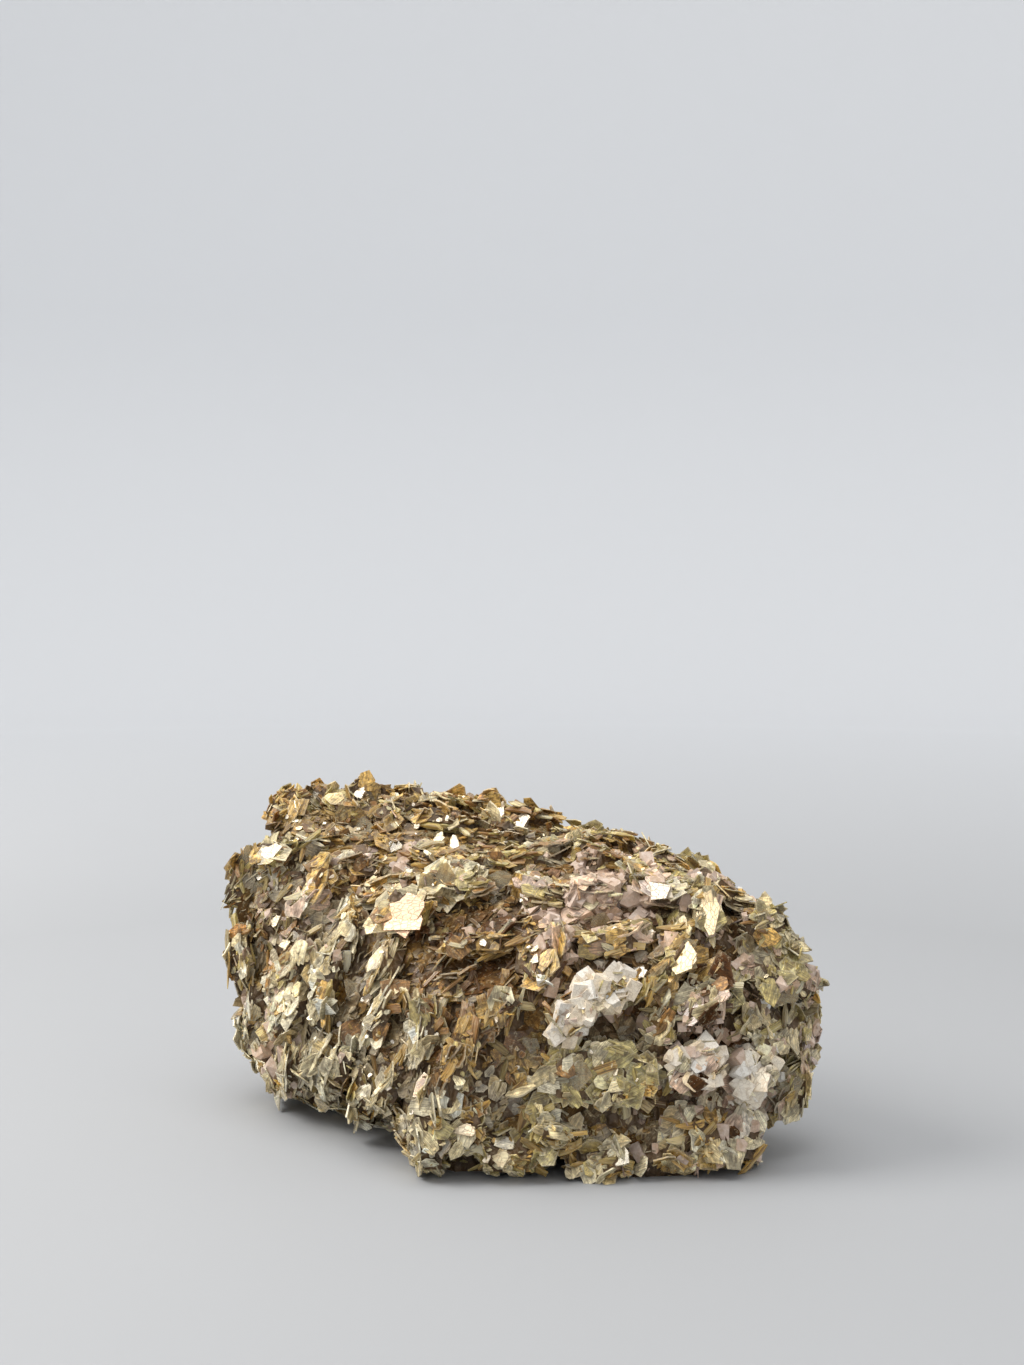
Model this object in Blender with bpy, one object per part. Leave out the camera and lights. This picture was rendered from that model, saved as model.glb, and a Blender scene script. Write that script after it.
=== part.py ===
"""Mica crystal: one solid mass of intergrown mica books, lying on its broad side.

Row frame: metres, +Z up, X along the mass, origin on the ground under the middle of its box.
Every dimension below is in millimetres, and MM turns them into metres at the end. The tables
put their origin near the middle of the mass, and the finished solid is centred on its own box.
"""

import math
from random import Random
from typing import NamedTuple

import bmesh
import bpy
from mathutils import Matrix, Vector, noise

MM = 0.001

# the mass as a whole
SEED = 32
RINGS = 20
AROUND = 16
INSET = 3.4
LUMP_SIZE = 8.0
LUMP_HEIGHT = 0.7
END_SHARE = 0.2

# the books that cover it
SPACING = 8.6
SEAT_TRIES = 40000
LARGEST_PATCH = 22000.0
REACH = (-0.8, 0.9)
BITE = 4.4
WIDTH_SHARE = (0.62, 0.9)
CORNER_SHIFT = 0.22
CORNER_SPREAD = (0.88, 1.12)
TAPER = (0.86, 0.97)
STONE = (0.46, 0.41, 0.31, 1.0)
ROUGHNESS = 0.4


class Section(NamedTuple):
    """One cross-section: its place along X, then the Y of the -Y and +Y flanks at the base,
    at the belly and at the crown, each with the height it is found at."""

    x: float
    base: tuple
    base_z: float
    belly: tuple
    belly_z: float
    crown: tuple
    crown_z: tuple


SECTIONS = (
    Section(-47, (-14, -11), 27, (-15, -10), 30, (-14, -11), (33, 33)),
    Section(-46, (-20, -8), 12, (-25, -2), 28, (-19, -8), (48.5, 50)),
    Section(-42, (-23, 4), 5, (-32, 8), 26, (-24, 2), (51, 53)),
    Section(-33, (-25.5, 12), 1.5, (-32.5, 17), 23, (-22, 12), (48.5, 52)),
    Section(-20, (-26.5, 18), 1.5, (-32.5, 23), 20, (-18, 17), (45, 51)),
    Section(-5, (-27, 20), 1.5, (-31.5, 26), 20, (-17, 18), (41.5, 49)),
    Section(8, (-28.5, 21), 1, (-31, 27), 20, (-16, 19), (40, 48.5)),
    Section(17, (-30, 21), 1, (-30, 28), 20, (-13, 20), (39, 47.5)),
    Section(27, (-20, 20), 1.5, (-20, 29), 20, (-6, 21), (39, 46)),
    Section(37, (-9.5, 18), 0.5, (-8, 29.5), 18, (3, 21), (37, 42)),
    Section(44, (-0.5, 14), 1.5, (0.5, 28), 17, (7, 22), (34, 37)),
    Section(48, (7, 13), 7, (7, 22), 18, (10, 19), (26, 29)),
    Section(49, (13, 15), 17, (13, 16), 18, (13, 15), (19, 20)),
)


class Pit(NamedTuple):
    """A hollow between the books."""

    at: tuple
    radius: float
    depth: float


PITS = (
    Pit((15, -22, 34), 5.0, 3.0),
    Pit((9, -25, 33), 4.0, 2.5),
    Pit((42, -2, 15), 4.5, 3.5),
    Pit((26, -21, 18), 4.0, 3.5),
    Pit((28, -5, 39), 4.0, 2.5),
    Pit((39, -6, 12), 4.5, 3.0),
    Pit((4, -31, 2), 6.0, 3.5),
    Pit((-18, -29, 3), 6.0, 3.0),
    Pit((-39, -20, 44), 5.0, 1.5),
    Pit((-20, 24, 24), 8.0, 3.0),
    Pit((16, 28, 30), 7.0, 2.5),
    Pit((30, 28, 10), 6.0, 2.5),
)


class Zone(NamedTuple):
    """A patch of the surface whose books share a habit.

    lean is the angle in degrees between a book's face and the surface under it, strike the way
    its exposed edge runs, spread the scatter of both.
    """

    at: tuple
    lean: float
    strike: tuple
    spread: float
    length: tuple
    thickness: tuple
    sides: tuple


UPRIGHT = (5, 6)
SCALE = (6, 7)
BLOCK = (4, 5, 6)

ZONES = (
    # along the top, far end to near end
    Zone((-34, -8, 53), 70, (0.5, -0.3, 1), 26, (11, 16), (2.0, 4.0), UPRIGHT),
    Zone((-14, 12, 50), 65, (1, 0.5, 0.3), 28, (11, 16), (2.0, 3.8), UPRIGHT),
    Zone((-16, -15, 45), 48, (0.8, 0.6, 0.2), 30, (11, 15), (2.0, 3.6), SCALE),
    Zone((-1, -8, 45), 15, (1, 0.4, 0), 14, (12, 17), (1.8, 3.2), SCALE),
    Zone((5, 12, 48), 40, (1, 0.8, 0), 30, (10, 15), (2.6, 4.6), BLOCK),
    Zone((22, 3, 44), 18, (1, 0.2, 0), 16, (11, 16), (3.6, 6.0), BLOCK),
    Zone((24, 18, 45), 28, (1, 0.1, 0), 22, (12, 18), (2.2, 4.0), SCALE),
    Zone((38, 10, 40), 35, (0.5, 0.8, 0.6), 26, (11, 16), (2.6, 4.6), SCALE),
    # down the near end face
    Zone((12, -20, 37), 62, (0.8, 0.3, 0.5), 22, (12, 16), (2.0, 3.8), UPRIGHT),
    Zone((36, -4, 33), 58, (0.5, 0.5, 0.7), 26, (11, 16), (2.2, 3.8), UPRIGHT),
    Zone((31, -12, 27), 30, (0.5, 0.2, 1), 20, (12, 16), (3.6, 6.0), BLOCK),
    Zone((20, -24, 24), 52, (0.3, 0.2, 1), 24, (12, 16), (2.2, 4.0), UPRIGHT),
    Zone((35, -9, 16), 16, (0.8, 1, 0), 14, (14, 19), (2.2, 3.6), SCALE),
    Zone((45, 3, 20), 34, (0.3, 0.6, 0.8), 22, (11, 16), (3.0, 5.4), BLOCK),
    Zone((24, -23, 6), 45, (0.8, 1, 0.4), 30, (10, 14), (2.2, 4.0), SCALE),
    Zone((40, -3, 5), 40, (0.8, 1, 0.2), 28, (11, 15), (2.2, 4.0), SCALE),
    # the near end and its far corner
    Zone((48, 15, 28), 22, (0, 1, 0.5), 18, (12, 17), (2.6, 4.4), SCALE),
    Zone((47, 18, 10), 26, (0.2, 1, 0.6), 20, (11, 16), (2.4, 4.2), SCALE),
    # along the -Y side, near end to far end
    Zone((1, -30, 26), 34, (0.2, 0, 1), 22, (11, 16), (2.0, 3.6), SCALE),
    Zone((6, -32, 11), 48, (0.5, 0, 1), 26, (11, 15), (2.2, 3.8), UPRIGHT),
    Zone((-12, -31, 20), 68, (0.1, 0, 1), 14, (12, 17), (2.0, 3.4), UPRIGHT),
    Zone((-22, -31, 30), 20, (0.4, 0, 1), 18, (12, 16), (2.2, 3.8), SCALE),
    Zone((-14, -29, 8), 42, (0.8, 0, 0.5), 26, (10, 14), (2.2, 3.8), SCALE),
    Zone((-30, -31, 12), 30, (0.6, 0, 0.8), 24, (10, 14), (2.2, 3.8), SCALE),
    Zone((-38, -31, 30), 55, (0.1, 0.2, 1), 24, (11, 16), (2.0, 3.6), UPRIGHT),
    # the far end, the back and the underside
    Zone((-46, -12, 32), 45, (0, 0.6, 0.8), 28, (11, 16), (2.2, 4.0), SCALE),
    Zone((-44, 0, 46), 62, (0.2, 0.5, 0.8), 26, (11, 16), (2.0, 3.8), UPRIGHT),
    Zone((-28, 20, 34), 50, (0.7, 0.1, 0.6), 28, (11, 16), (2.2, 4.0), UPRIGHT),
    Zone((-8, 26, 20), 28, (0.8, 0, 0.5), 24, (12, 17), (2.4, 4.2), SCALE),
    Zone((12, 27, 34), 45, (0.6, 0, 0.8), 26, (11, 16), (2.2, 4.0), UPRIGHT),
    Zone((30, 29, 20), 32, (0.9, 0, 0.4), 24, (12, 17), (2.6, 4.6), SCALE),
    Zone((0, 0, 0), 12, (1, 0.3, 0), 12, (13, 18), (2.6, 4.0), SCALE),
)


class Crystal(NamedTuple):
    """A crystal with a place of its own: at is the middle of the broad face that shows, facing
    the way that face looks, and depth how far the crystal goes back from it."""

    at: tuple
    facing: tuple
    along: tuple
    length: float
    width: float
    depth: float
    sides: int


CRYSTALS = {
    "broad book": Crystal((-2, -22, 39), (0.5, -0.85, 0.6), (0.8, 0.5, -0.1), 10, 7.5, 6, 4),
    "tall scale": Crystal((38, 9, 41), (0.7, -0.5, 0.6), (-0.2, 0.4, 0.9), 9, 4.5, 6, 5),
    "ledge plate": Crystal((35, -11.5, 16.5), (0.8, -0.6, 0.2), (0.6, 0.75, 0.1), 20, 10, 6, 7),
    "leaning block": Crystal((32, -13.5, 27), (0.8, -0.6, 0.3), (0.4, 0.3, 0.9), 11, 5, 7, 6),
    "short block": Crystal((34.5, -8, 30), (0.7, -0.6, 0.4), (0.5, 0.4, 0.8), 6, 5, 7, 6),
    "ribbed block": Crystal((44.5, 0.5, 18), (0.8, -0.5, 0.3), (0.5, 0.8, 0.3), 9, 7, 7, 5),
    "end block": Crystal((48.5, 9.5, 16), (0.9, -0.4, 0.2), (0.3, 0.5, 0.9), 8, 6, 6, 6),
    "end leaf": Crystal((46, 20, 10.5), (0.7, -0.3, 0.2), (0.3, 0.8, 0.5), 8, 7, 5, 7),
    "corner rosette": Crystal((-40, -20, 51.5), (0.2, -0.6, 0.3), (0.3, 0.1, 1), 9, 7, 5, 6),
    "rosette leaf": Crystal((-43, -12, 52), (-0.8, -0.3, 0.2), (0.1, 0.3, 1), 8, 6, 4, 6),
    "high scale": Crystal((-35, -27, 45), (0.3, -0.7, 0.8), (0.9, 0.3, 0.1), 7, 4, 6, 6),
    "round scale": Crystal((0, -13, 43), (0.3, -0.6, 0.8), (0.9, 0.4, 0), 11, 8, 5, 8),
}

FEET = ((15.0, -23.0), (-31.0, -14.0), (-13.0, 11.0), (31.0, 6.0))
FOOT_SIZE = (11.0, 8.5)
FOOT_HEIGHT = 6.0
FOOT_SINK = 0.5
CUTTER_SIDE = 160.0
CUTTER_DEPTH = 30.0


def spline(before, start, end, after, share):
    """A point of the Catmull-Rom curve, a given share of the way from start to end."""
    square = share * share
    return 0.5 * (
        2 * start
        + (end - before) * share
        + (2 * before - 5 * start + 4 * end - after) * square
        + (3 * start - before - 3 * end + after) * square * share
    )


def corners(section):
    """The section's six corners, anticlockwise seen from +X, starting at the +Y belly."""
    flanks = (
        (section.belly[1], section.belly_z),
        (section.crown[1], section.crown_z[1]),
        (section.crown[0], section.crown_z[0]),
        (section.belly[0], section.belly_z),
        (section.base[0], section.base_z),
        (section.base[1], section.base_z),
    )
    return [Vector((section.x, y, z)) for y, z in flanks]


OUTLINES = [corners(section) for section in SECTIONS]


def smooth_skin(u, v):
    """A point of the skin without its pits: u runs from far end to near end, v goes around."""
    along = min(max(u, 0.0), 1.0) * (len(OUTLINES) - 1)
    i = min(int(along), len(OUTLINES) - 2)
    turn = (v % 1.0) * 6
    j = int(turn) % 6
    row = []
    for k in range(-1, 3):
        ring = OUTLINES[min(max(i + k, 0), len(OUTLINES) - 1)]
        row.append(spline(ring[j - 1], ring[j], ring[(j + 1) % 6], ring[(j + 2) % 6], turn - j))
    return spline(*row, along - i)


def skin_normal(u, v):
    """The way out of the mass at a point of the skin."""
    step = 0.004
    along = smooth_skin(min(u + step, 1.0), v) - smooth_skin(max(u - step, 0.0), v)
    around = smooth_skin(u, v + step) - smooth_skin(u, v - step)
    out = around.cross(along)
    return out.normalized()


def dent(point):
    """How far the pits push a point of the skin inwards."""
    total = 0.0
    for pit in PITS:
        gap = (point - Vector(pit.at)).length / pit.radius
        total += pit.depth * math.exp(-gap * gap)
    return total


def core():
    """The body under the books: the skin drawn in towards its middle line, lumpy and pitted."""
    bm = bmesh.new()
    rings = []
    for i in range(RINGS):
        u = i / (RINGS - 1)
        points = [smooth_skin(u, j / AROUND) for j in range(AROUND)]
        middle = sum(points, Vector()) / AROUND
        ring = []
        for point in points:
            outward = point - middle
            depth = INSET + dent(point) - LUMP_HEIGHT * noise.noise(point / LUMP_SIZE)
            kept = max(1.0 - depth / outward.length, END_SHARE)
            place = middle + outward * kept
            place.x *= 1.0 - INSET / SECTIONS[-1].x
            ring.append(bm.verts.new(place))
        rings.append(ring)
    for near, far in zip(rings, rings[1:]):
        for j in range(AROUND):
            k = (j + 1) % AROUND
            bm.faces.new((near[j], near[k], far[k], far[j]))
    bm.faces.new(rings[0])
    bm.faces.new(rings[-1])
    return finished("mica_crystal", bm)


def finished(name, bm):
    """The mesh as an object in metres, its faces looking outwards."""
    bmesh.ops.recalc_face_normals(bm, faces=bm.faces)
    bm.transform(Matrix.Scale(MM, 4))
    mesh = bpy.data.meshes.new(name)
    bm.to_mesh(mesh)
    bm.free()
    item = bpy.data.objects.new(name, mesh)
    bpy.context.collection.objects.link(item)
    return item


def book_outline(rng, sides, length, width, thickness):
    """The two rims of one book, in its own axes: X along it, Z through its thickness."""
    start = rng.uniform(0, math.tau)
    low, high = [], []
    for i in range(sides):
        angle = start + math.tau * (i + rng.uniform(-CORNER_SHIFT, CORNER_SHIFT)) / sides
        radius = rng.uniform(*CORNER_SPREAD)
        rim = Vector((length * radius * math.cos(angle), width * radius * math.sin(angle), 0)) / 2
        low.append(rim - Vector((0, 0, thickness / 2)))
        high.append(rim * rng.uniform(*TAPER) + Vector((0, 0, thickness / 2)))
    return low, high


def add_book(bm, at, turn, rims):
    """One closed book with its rims turned and moved into place."""
    low, high = [[bm.verts.new(at + turn @ point) for point in rim] for rim in rims]
    bm.faces.new(low)
    bm.faces.new(high)
    for i in range(len(low)):
        k = (i + 1) % len(low)
        bm.faces.new((low[i], low[k], high[k], high[i]))


def turn_to(facing, along):
    """The turn that takes Z to facing and X as near as it can to along."""
    z = facing.normalized()
    x = (along - z * along.dot(z)).normalized()
    return Matrix((x, z.cross(x), z)).transposed()


def zone_at(point):
    return min(ZONES, key=lambda zone: (Vector(zone.at) - point).length)


def seats(rng):
    """Places on the skin for the books, spread evenly and clear of the named crystals."""
    taken = [Vector(crystal.at) for crystal in CRYSTALS.values()]
    found = []
    step = 0.01
    for _ in range(SEAT_TRIES):
        u, v = rng.random(), rng.random()
        point = smooth_skin(u, v)
        along = smooth_skin(min(u + step, 1.0), v) - point
        around = smooth_skin(u, v + step) - point
        area = along.cross(around).length / step**2
        if rng.random() * LARGEST_PATCH > area:
            continue
        if all((point - other).length > SPACING for other in taken):
            taken.append(point)
            found.append((point, skin_normal(u, v)))
    return found


def habit(rng, zone, out):
    """A book's facing and the way its length runs, for a place whose surface looks out."""
    strike = Vector(zone.strike)
    edge = strike - out * strike.dot(out)
    if edge.length < 0.1:
        edge = out.orthogonal()
    edge.rotate(Matrix.Rotation(math.radians(rng.gauss(0, zone.spread)), 3, out))
    edge.normalize()
    lean = math.radians(rng.gauss(zone.lean, zone.spread / 2))
    facing = out * math.cos(lean) + out.cross(edge) * math.sin(lean)
    return facing, edge


def books(rng):
    """All the books of the mass as one mesh of closed shells."""
    bm = bmesh.new()
    for crystal in CRYSTALS.values():
        turn = turn_to(Vector(crystal.facing), Vector(crystal.along))
        rims = book_outline(rng, crystal.sides, crystal.length, crystal.width, crystal.depth)
        back = Vector(crystal.facing).normalized() * crystal.depth / 2
        add_book(bm, Vector(crystal.at) - back, turn, rims)
    for x, y in FEET:
        at = Vector((x, y, FOOT_HEIGHT / 2 - FOOT_SINK))
        rims = book_outline(rng, 6, *FOOT_SIZE, FOOT_HEIGHT)
        add_book(bm, at, turn_to(Vector((0, 0, -1)), Vector((1, 0.3, 0))), rims)
    for point, out in seats(rng):
        zone = zone_at(point)
        facing, edge = habit(rng, zone, out)
        turn = turn_to(facing, edge)
        length = rng.uniform(*zone.length)
        width = length * rng.uniform(*WIDTH_SHARE)
        sides = rng.choice(zone.sides)
        rims = book_outline(rng, sides, length, width, rng.uniform(*zone.thickness))
        heights = [out.dot(turn @ corner) for rim in rims for corner in rim]
        tip = max(heights)
        reach = min(rng.uniform(*REACH), tip - min(heights) - BITE)
        at = point + out * (reach - tip - dent(point))
        add_book(bm, at, turn, rims)
    return finished("books", bm)


def combine(body, tool, operation, solver):
    """Join the tool to the body or cut it away, leaving the tool hidden."""
    modifier = body.modifiers.new(operation.lower(), "BOOLEAN")
    modifier.operation = operation
    modifier.object = tool
    modifier.solver = solver
    if solver == "EXACT":
        modifier.use_self = True
    tool.hide_render = True
    tool.display_type = "WIRE"


def keep_outer_shell(body):
    """Bake the body and close up the small gaps that its books had sealed in."""
    graph = bpy.context.evaluated_depsgraph_get()
    mesh = bpy.data.meshes.new_from_object(body.evaluated_get(graph))
    bm = bmesh.new()
    bm.from_mesh(mesh)
    waiting = set(bm.faces)
    shells = []
    while waiting:
        edge_of_shell = [waiting.pop()]
        shell = []
        while edge_of_shell:
            face = edge_of_shell.pop()
            shell.append(face)
            beside = {other for edge in face.edges for other in edge.link_faces} & waiting
            waiting -= beside
            edge_of_shell.extend(beside)
        shells.append(shell)
    shells.sort(key=len)
    sealed = [face for shell in shells[:-1] for face in shell]
    bmesh.ops.delete(bm, geom=sealed, context="FACES")
    bm.to_mesh(mesh)
    bm.free()
    body.modifiers.clear()
    body.data = mesh


def stand_on_origin(body):
    """Move the body so that the origin is on the ground under the middle of its box."""
    across = [vertex.co.x for vertex in body.data.vertices]
    deep = [vertex.co.y for vertex in body.data.vertices]
    middle = Vector((min(across) + max(across), min(deep) + max(deep), 0)) / 2
    body.data.transform(Matrix.Translation(-middle))


def ground_cutter():
    """A block whose top is the ground, to cut the books off level where the mass stands."""
    bm = bmesh.new()
    bmesh.ops.create_cube(bm, size=1.0)
    bmesh.ops.scale(bm, vec=(CUTTER_SIDE, CUTTER_SIDE, CUTTER_DEPTH), verts=bm.verts)
    bmesh.ops.translate(bm, vec=(0, 0, -CUTTER_DEPTH / 2), verts=bm.verts)
    return finished("ground_cutter", bm)


def stone():
    """The mean colour of the stone."""
    material = bpy.data.materials.new("mica")
    material.use_nodes = True
    shader = material.node_tree.nodes["Principled BSDF"]
    shader.inputs["Base Color"].default_value = STONE
    shader.inputs["Roughness"].default_value = ROUGHNESS
    shader.inputs["Metallic"].default_value = 0.0
    return material


def main():
    for item in list(bpy.data.objects):
        bpy.data.objects.remove(item)
    rng = Random(SEED)
    crystal = core()
    combine(crystal, books(rng), "UNION", "EXACT")
    # EXACT loses the body when it cuts through this many crossing books
    combine(crystal, ground_cutter(), "DIFFERENCE", "MANIFOLD")
    keep_outer_shell(crystal)
    stand_on_origin(crystal)
    crystal.data.materials.append(stone())


main()
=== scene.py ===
"""Mica crystal: the finished look of a mass of intergrown mica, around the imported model.

Lengths in the tables are millimetres, and MM turns them into metres where a mesh is made.
"""

import math
from random import Random
from typing import NamedTuple

import bmesh
import bpy
import numpy as np
from bpy.props import FloatProperty, FloatVectorProperty, IntProperty, PointerProperty
from mathutils import Matrix, Vector, noise
from mathutils.bvhtree import BVHTree
from mathutils.kdtree import KDTree


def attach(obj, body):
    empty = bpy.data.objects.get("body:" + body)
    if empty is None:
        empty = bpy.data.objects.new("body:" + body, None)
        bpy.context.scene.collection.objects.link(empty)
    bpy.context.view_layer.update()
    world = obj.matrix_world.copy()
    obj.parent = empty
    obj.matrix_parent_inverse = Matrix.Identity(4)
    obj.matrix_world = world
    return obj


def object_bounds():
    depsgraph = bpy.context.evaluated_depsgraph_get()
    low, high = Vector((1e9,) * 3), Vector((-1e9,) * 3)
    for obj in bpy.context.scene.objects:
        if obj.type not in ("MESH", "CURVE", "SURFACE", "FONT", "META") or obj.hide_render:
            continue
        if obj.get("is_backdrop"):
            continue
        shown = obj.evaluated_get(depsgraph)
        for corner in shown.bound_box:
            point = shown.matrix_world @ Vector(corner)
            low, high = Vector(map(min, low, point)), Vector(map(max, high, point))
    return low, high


bl_info = {
    "name": "Mica Crystal",
    "version": (1, 0, 0),
    "blender": (4, 5, 0),
    "location": "3D View > Sidebar > Mica",
    "description": "Dresses the packed mica crystal in books, fans, scales, chips and grains",
    "category": "Object",
}

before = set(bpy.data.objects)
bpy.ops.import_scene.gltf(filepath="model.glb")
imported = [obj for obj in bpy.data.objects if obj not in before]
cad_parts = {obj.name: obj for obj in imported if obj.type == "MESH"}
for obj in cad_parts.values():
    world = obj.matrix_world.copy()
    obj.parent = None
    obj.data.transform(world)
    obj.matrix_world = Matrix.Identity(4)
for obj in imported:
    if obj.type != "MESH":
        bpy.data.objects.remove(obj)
CAD_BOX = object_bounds()
NODE = "mica_crystal"

MM = 0.001
# where the tables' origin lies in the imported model
TABLE_ORIGIN = Vector((-0.85, 1.95, 0.0))

# the model's own books, in the order and with the numbers that the model was made with
SEED = 32
SPACING = 8.6
SEAT_TRIES = 40000
LARGEST_PATCH = 22000.0
REACH = (-0.8, 0.9)
BITE = 4.4
WIDTH_SHARE = (0.62, 0.9)
CORNER_SHIFT = 0.22
CORNER_SPREAD = (0.88, 1.12)
TAPER = (0.86, 0.97)
FEET = 4
FOOT_SIDES = 6


class Section(NamedTuple):
    """One cross-section: its place along X, then the Y of the -Y and +Y flanks at the base,
    at the belly and at the crown, each with the height it is found at."""

    x: float
    base: tuple
    base_z: float
    belly: tuple
    belly_z: float
    crown: tuple
    crown_z: tuple


SECTIONS = (
    Section(-47, (-14, -11), 27, (-15, -10), 30, (-14, -11), (33, 33)),
    Section(-46, (-20, -8), 12, (-25, -2), 28, (-19, -8), (48.5, 50)),
    Section(-42, (-23, 4), 5, (-32, 8), 26, (-24, 2), (51, 53)),
    Section(-33, (-25.5, 12), 1.5, (-32.5, 17), 23, (-22, 12), (48.5, 52)),
    Section(-20, (-26.5, 18), 1.5, (-32.5, 23), 20, (-18, 17), (45, 51)),
    Section(-5, (-27, 20), 1.5, (-31.5, 26), 20, (-17, 18), (41.5, 49)),
    Section(8, (-28.5, 21), 1, (-31, 27), 20, (-16, 19), (40, 48.5)),
    Section(17, (-30, 21), 1, (-30, 28), 20, (-13, 20), (39, 47.5)),
    Section(27, (-20, 20), 1.5, (-20, 29), 20, (-6, 21), (39, 46)),
    Section(37, (-9.5, 18), 0.5, (-8, 29.5), 18, (3, 21), (37, 42)),
    Section(44, (-0.5, 14), 1.5, (0.5, 28), 17, (7, 22), (34, 37)),
    Section(48, (7, 13), 7, (7, 22), 18, (10, 19), (26, 29)),
    Section(49, (13, 15), 17, (13, 16), 18, (13, 15), (19, 20)),
)


class Pit(NamedTuple):
    """A hollow between the books."""

    at: tuple
    radius: float
    depth: float


PITS = (
    Pit((15, -22, 34), 5.0, 3.0),
    Pit((9, -25, 33), 4.0, 2.5),
    Pit((42, -2, 15), 4.5, 3.5),
    Pit((26, -21, 18), 4.0, 3.5),
    Pit((28, -5, 39), 4.0, 2.5),
    Pit((39, -6, 12), 4.5, 3.0),
    Pit((4, -31, 2), 6.0, 3.5),
    Pit((-18, -29, 3), 6.0, 3.0),
    Pit((-39, -20, 44), 5.0, 1.5),
    Pit((-20, 24, 24), 8.0, 3.0),
    Pit((16, 28, 30), 7.0, 2.5),
    Pit((30, 28, 10), 6.0, 2.5),
)


class Zone(NamedTuple):
    """A patch of the surface whose books share a habit.

    lean is the angle in degrees between a book's face and the surface under it, strike the way
    its exposed edge runs, spread the scatter of both.
    """

    at: tuple
    lean: float
    strike: tuple
    spread: float
    length: tuple
    thickness: tuple
    sides: tuple


UPRIGHT = (5, 6)
SCALE = (6, 7)
BLOCK = (4, 5, 6)

ZONES = (
    # along the top, far end to near end
    Zone((-34, -8, 53), 70, (0.5, -0.3, 1), 26, (11, 16), (2.0, 4.0), UPRIGHT),
    Zone((-14, 12, 50), 65, (1, 0.5, 0.3), 28, (11, 16), (2.0, 3.8), UPRIGHT),
    Zone((-16, -15, 45), 48, (0.8, 0.6, 0.2), 30, (11, 15), (2.0, 3.6), SCALE),
    Zone((-1, -8, 45), 15, (1, 0.4, 0), 14, (12, 17), (1.8, 3.2), SCALE),
    Zone((5, 12, 48), 40, (1, 0.8, 0), 30, (10, 15), (2.6, 4.6), BLOCK),
    Zone((22, 3, 44), 18, (1, 0.2, 0), 16, (11, 16), (3.6, 6.0), BLOCK),
    Zone((24, 18, 45), 28, (1, 0.1, 0), 22, (12, 18), (2.2, 4.0), SCALE),
    Zone((38, 10, 40), 35, (0.5, 0.8, 0.6), 26, (11, 16), (2.6, 4.6), SCALE),
    # down the near end face
    Zone((12, -20, 37), 62, (0.8, 0.3, 0.5), 22, (12, 16), (2.0, 3.8), UPRIGHT),
    Zone((36, -4, 33), 58, (0.5, 0.5, 0.7), 26, (11, 16), (2.2, 3.8), UPRIGHT),
    Zone((31, -12, 27), 30, (0.5, 0.2, 1), 20, (12, 16), (3.6, 6.0), BLOCK),
    Zone((20, -24, 24), 52, (0.3, 0.2, 1), 24, (12, 16), (2.2, 4.0), UPRIGHT),
    Zone((35, -9, 16), 16, (0.8, 1, 0), 14, (14, 19), (2.2, 3.6), SCALE),
    Zone((45, 3, 20), 34, (0.3, 0.6, 0.8), 22, (11, 16), (3.0, 5.4), BLOCK),
    Zone((24, -23, 6), 45, (0.8, 1, 0.4), 30, (10, 14), (2.2, 4.0), SCALE),
    Zone((40, -3, 5), 40, (0.8, 1, 0.2), 28, (11, 15), (2.2, 4.0), SCALE),
    # the near end and its far corner
    Zone((48, 15, 28), 22, (0, 1, 0.5), 18, (12, 17), (2.6, 4.4), SCALE),
    Zone((47, 18, 10), 26, (0.2, 1, 0.6), 20, (11, 16), (2.4, 4.2), SCALE),
    # along the -Y side, near end to far end
    Zone((1, -30, 26), 34, (0.2, 0, 1), 22, (11, 16), (2.0, 3.6), SCALE),
    Zone((6, -32, 11), 48, (0.5, 0, 1), 26, (11, 15), (2.2, 3.8), UPRIGHT),
    Zone((-12, -31, 20), 68, (0.1, 0, 1), 14, (12, 17), (2.0, 3.4), UPRIGHT),
    Zone((-22, -31, 30), 20, (0.4, 0, 1), 18, (12, 16), (2.2, 3.8), SCALE),
    Zone((-14, -29, 8), 42, (0.8, 0, 0.5), 26, (10, 14), (2.2, 3.8), SCALE),
    Zone((-30, -31, 12), 30, (0.6, 0, 0.8), 24, (10, 14), (2.2, 3.8), SCALE),
    Zone((-38, -31, 30), 55, (0.1, 0.2, 1), 24, (11, 16), (2.0, 3.6), UPRIGHT),
    # the far end, the back and the underside
    Zone((-46, -12, 32), 45, (0, 0.6, 0.8), 28, (11, 16), (2.2, 4.0), SCALE),
    Zone((-44, 0, 46), 62, (0.2, 0.5, 0.8), 26, (11, 16), (2.0, 3.8), UPRIGHT),
    Zone((-28, 20, 34), 50, (0.7, 0.1, 0.6), 28, (11, 16), (2.2, 4.0), UPRIGHT),
    Zone((-8, 26, 20), 28, (0.8, 0, 0.5), 24, (12, 17), (2.4, 4.2), SCALE),
    Zone((12, 27, 34), 45, (0.6, 0, 0.8), 26, (11, 16), (2.2, 4.0), UPRIGHT),
    Zone((30, 29, 20), 32, (0.9, 0, 0.4), 24, (12, 17), (2.6, 4.6), SCALE),
    Zone((0, 0, 0), 12, (1, 0.3, 0), 12, (13, 18), (2.6, 4.0), SCALE),
)


class Crystal(NamedTuple):
    """A crystal with a place of its own: at is the middle of the broad face that shows, facing
    the way that face looks, and depth how far the crystal goes back from it."""

    at: tuple
    facing: tuple
    along: tuple
    length: float
    width: float
    depth: float
    sides: int


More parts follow.
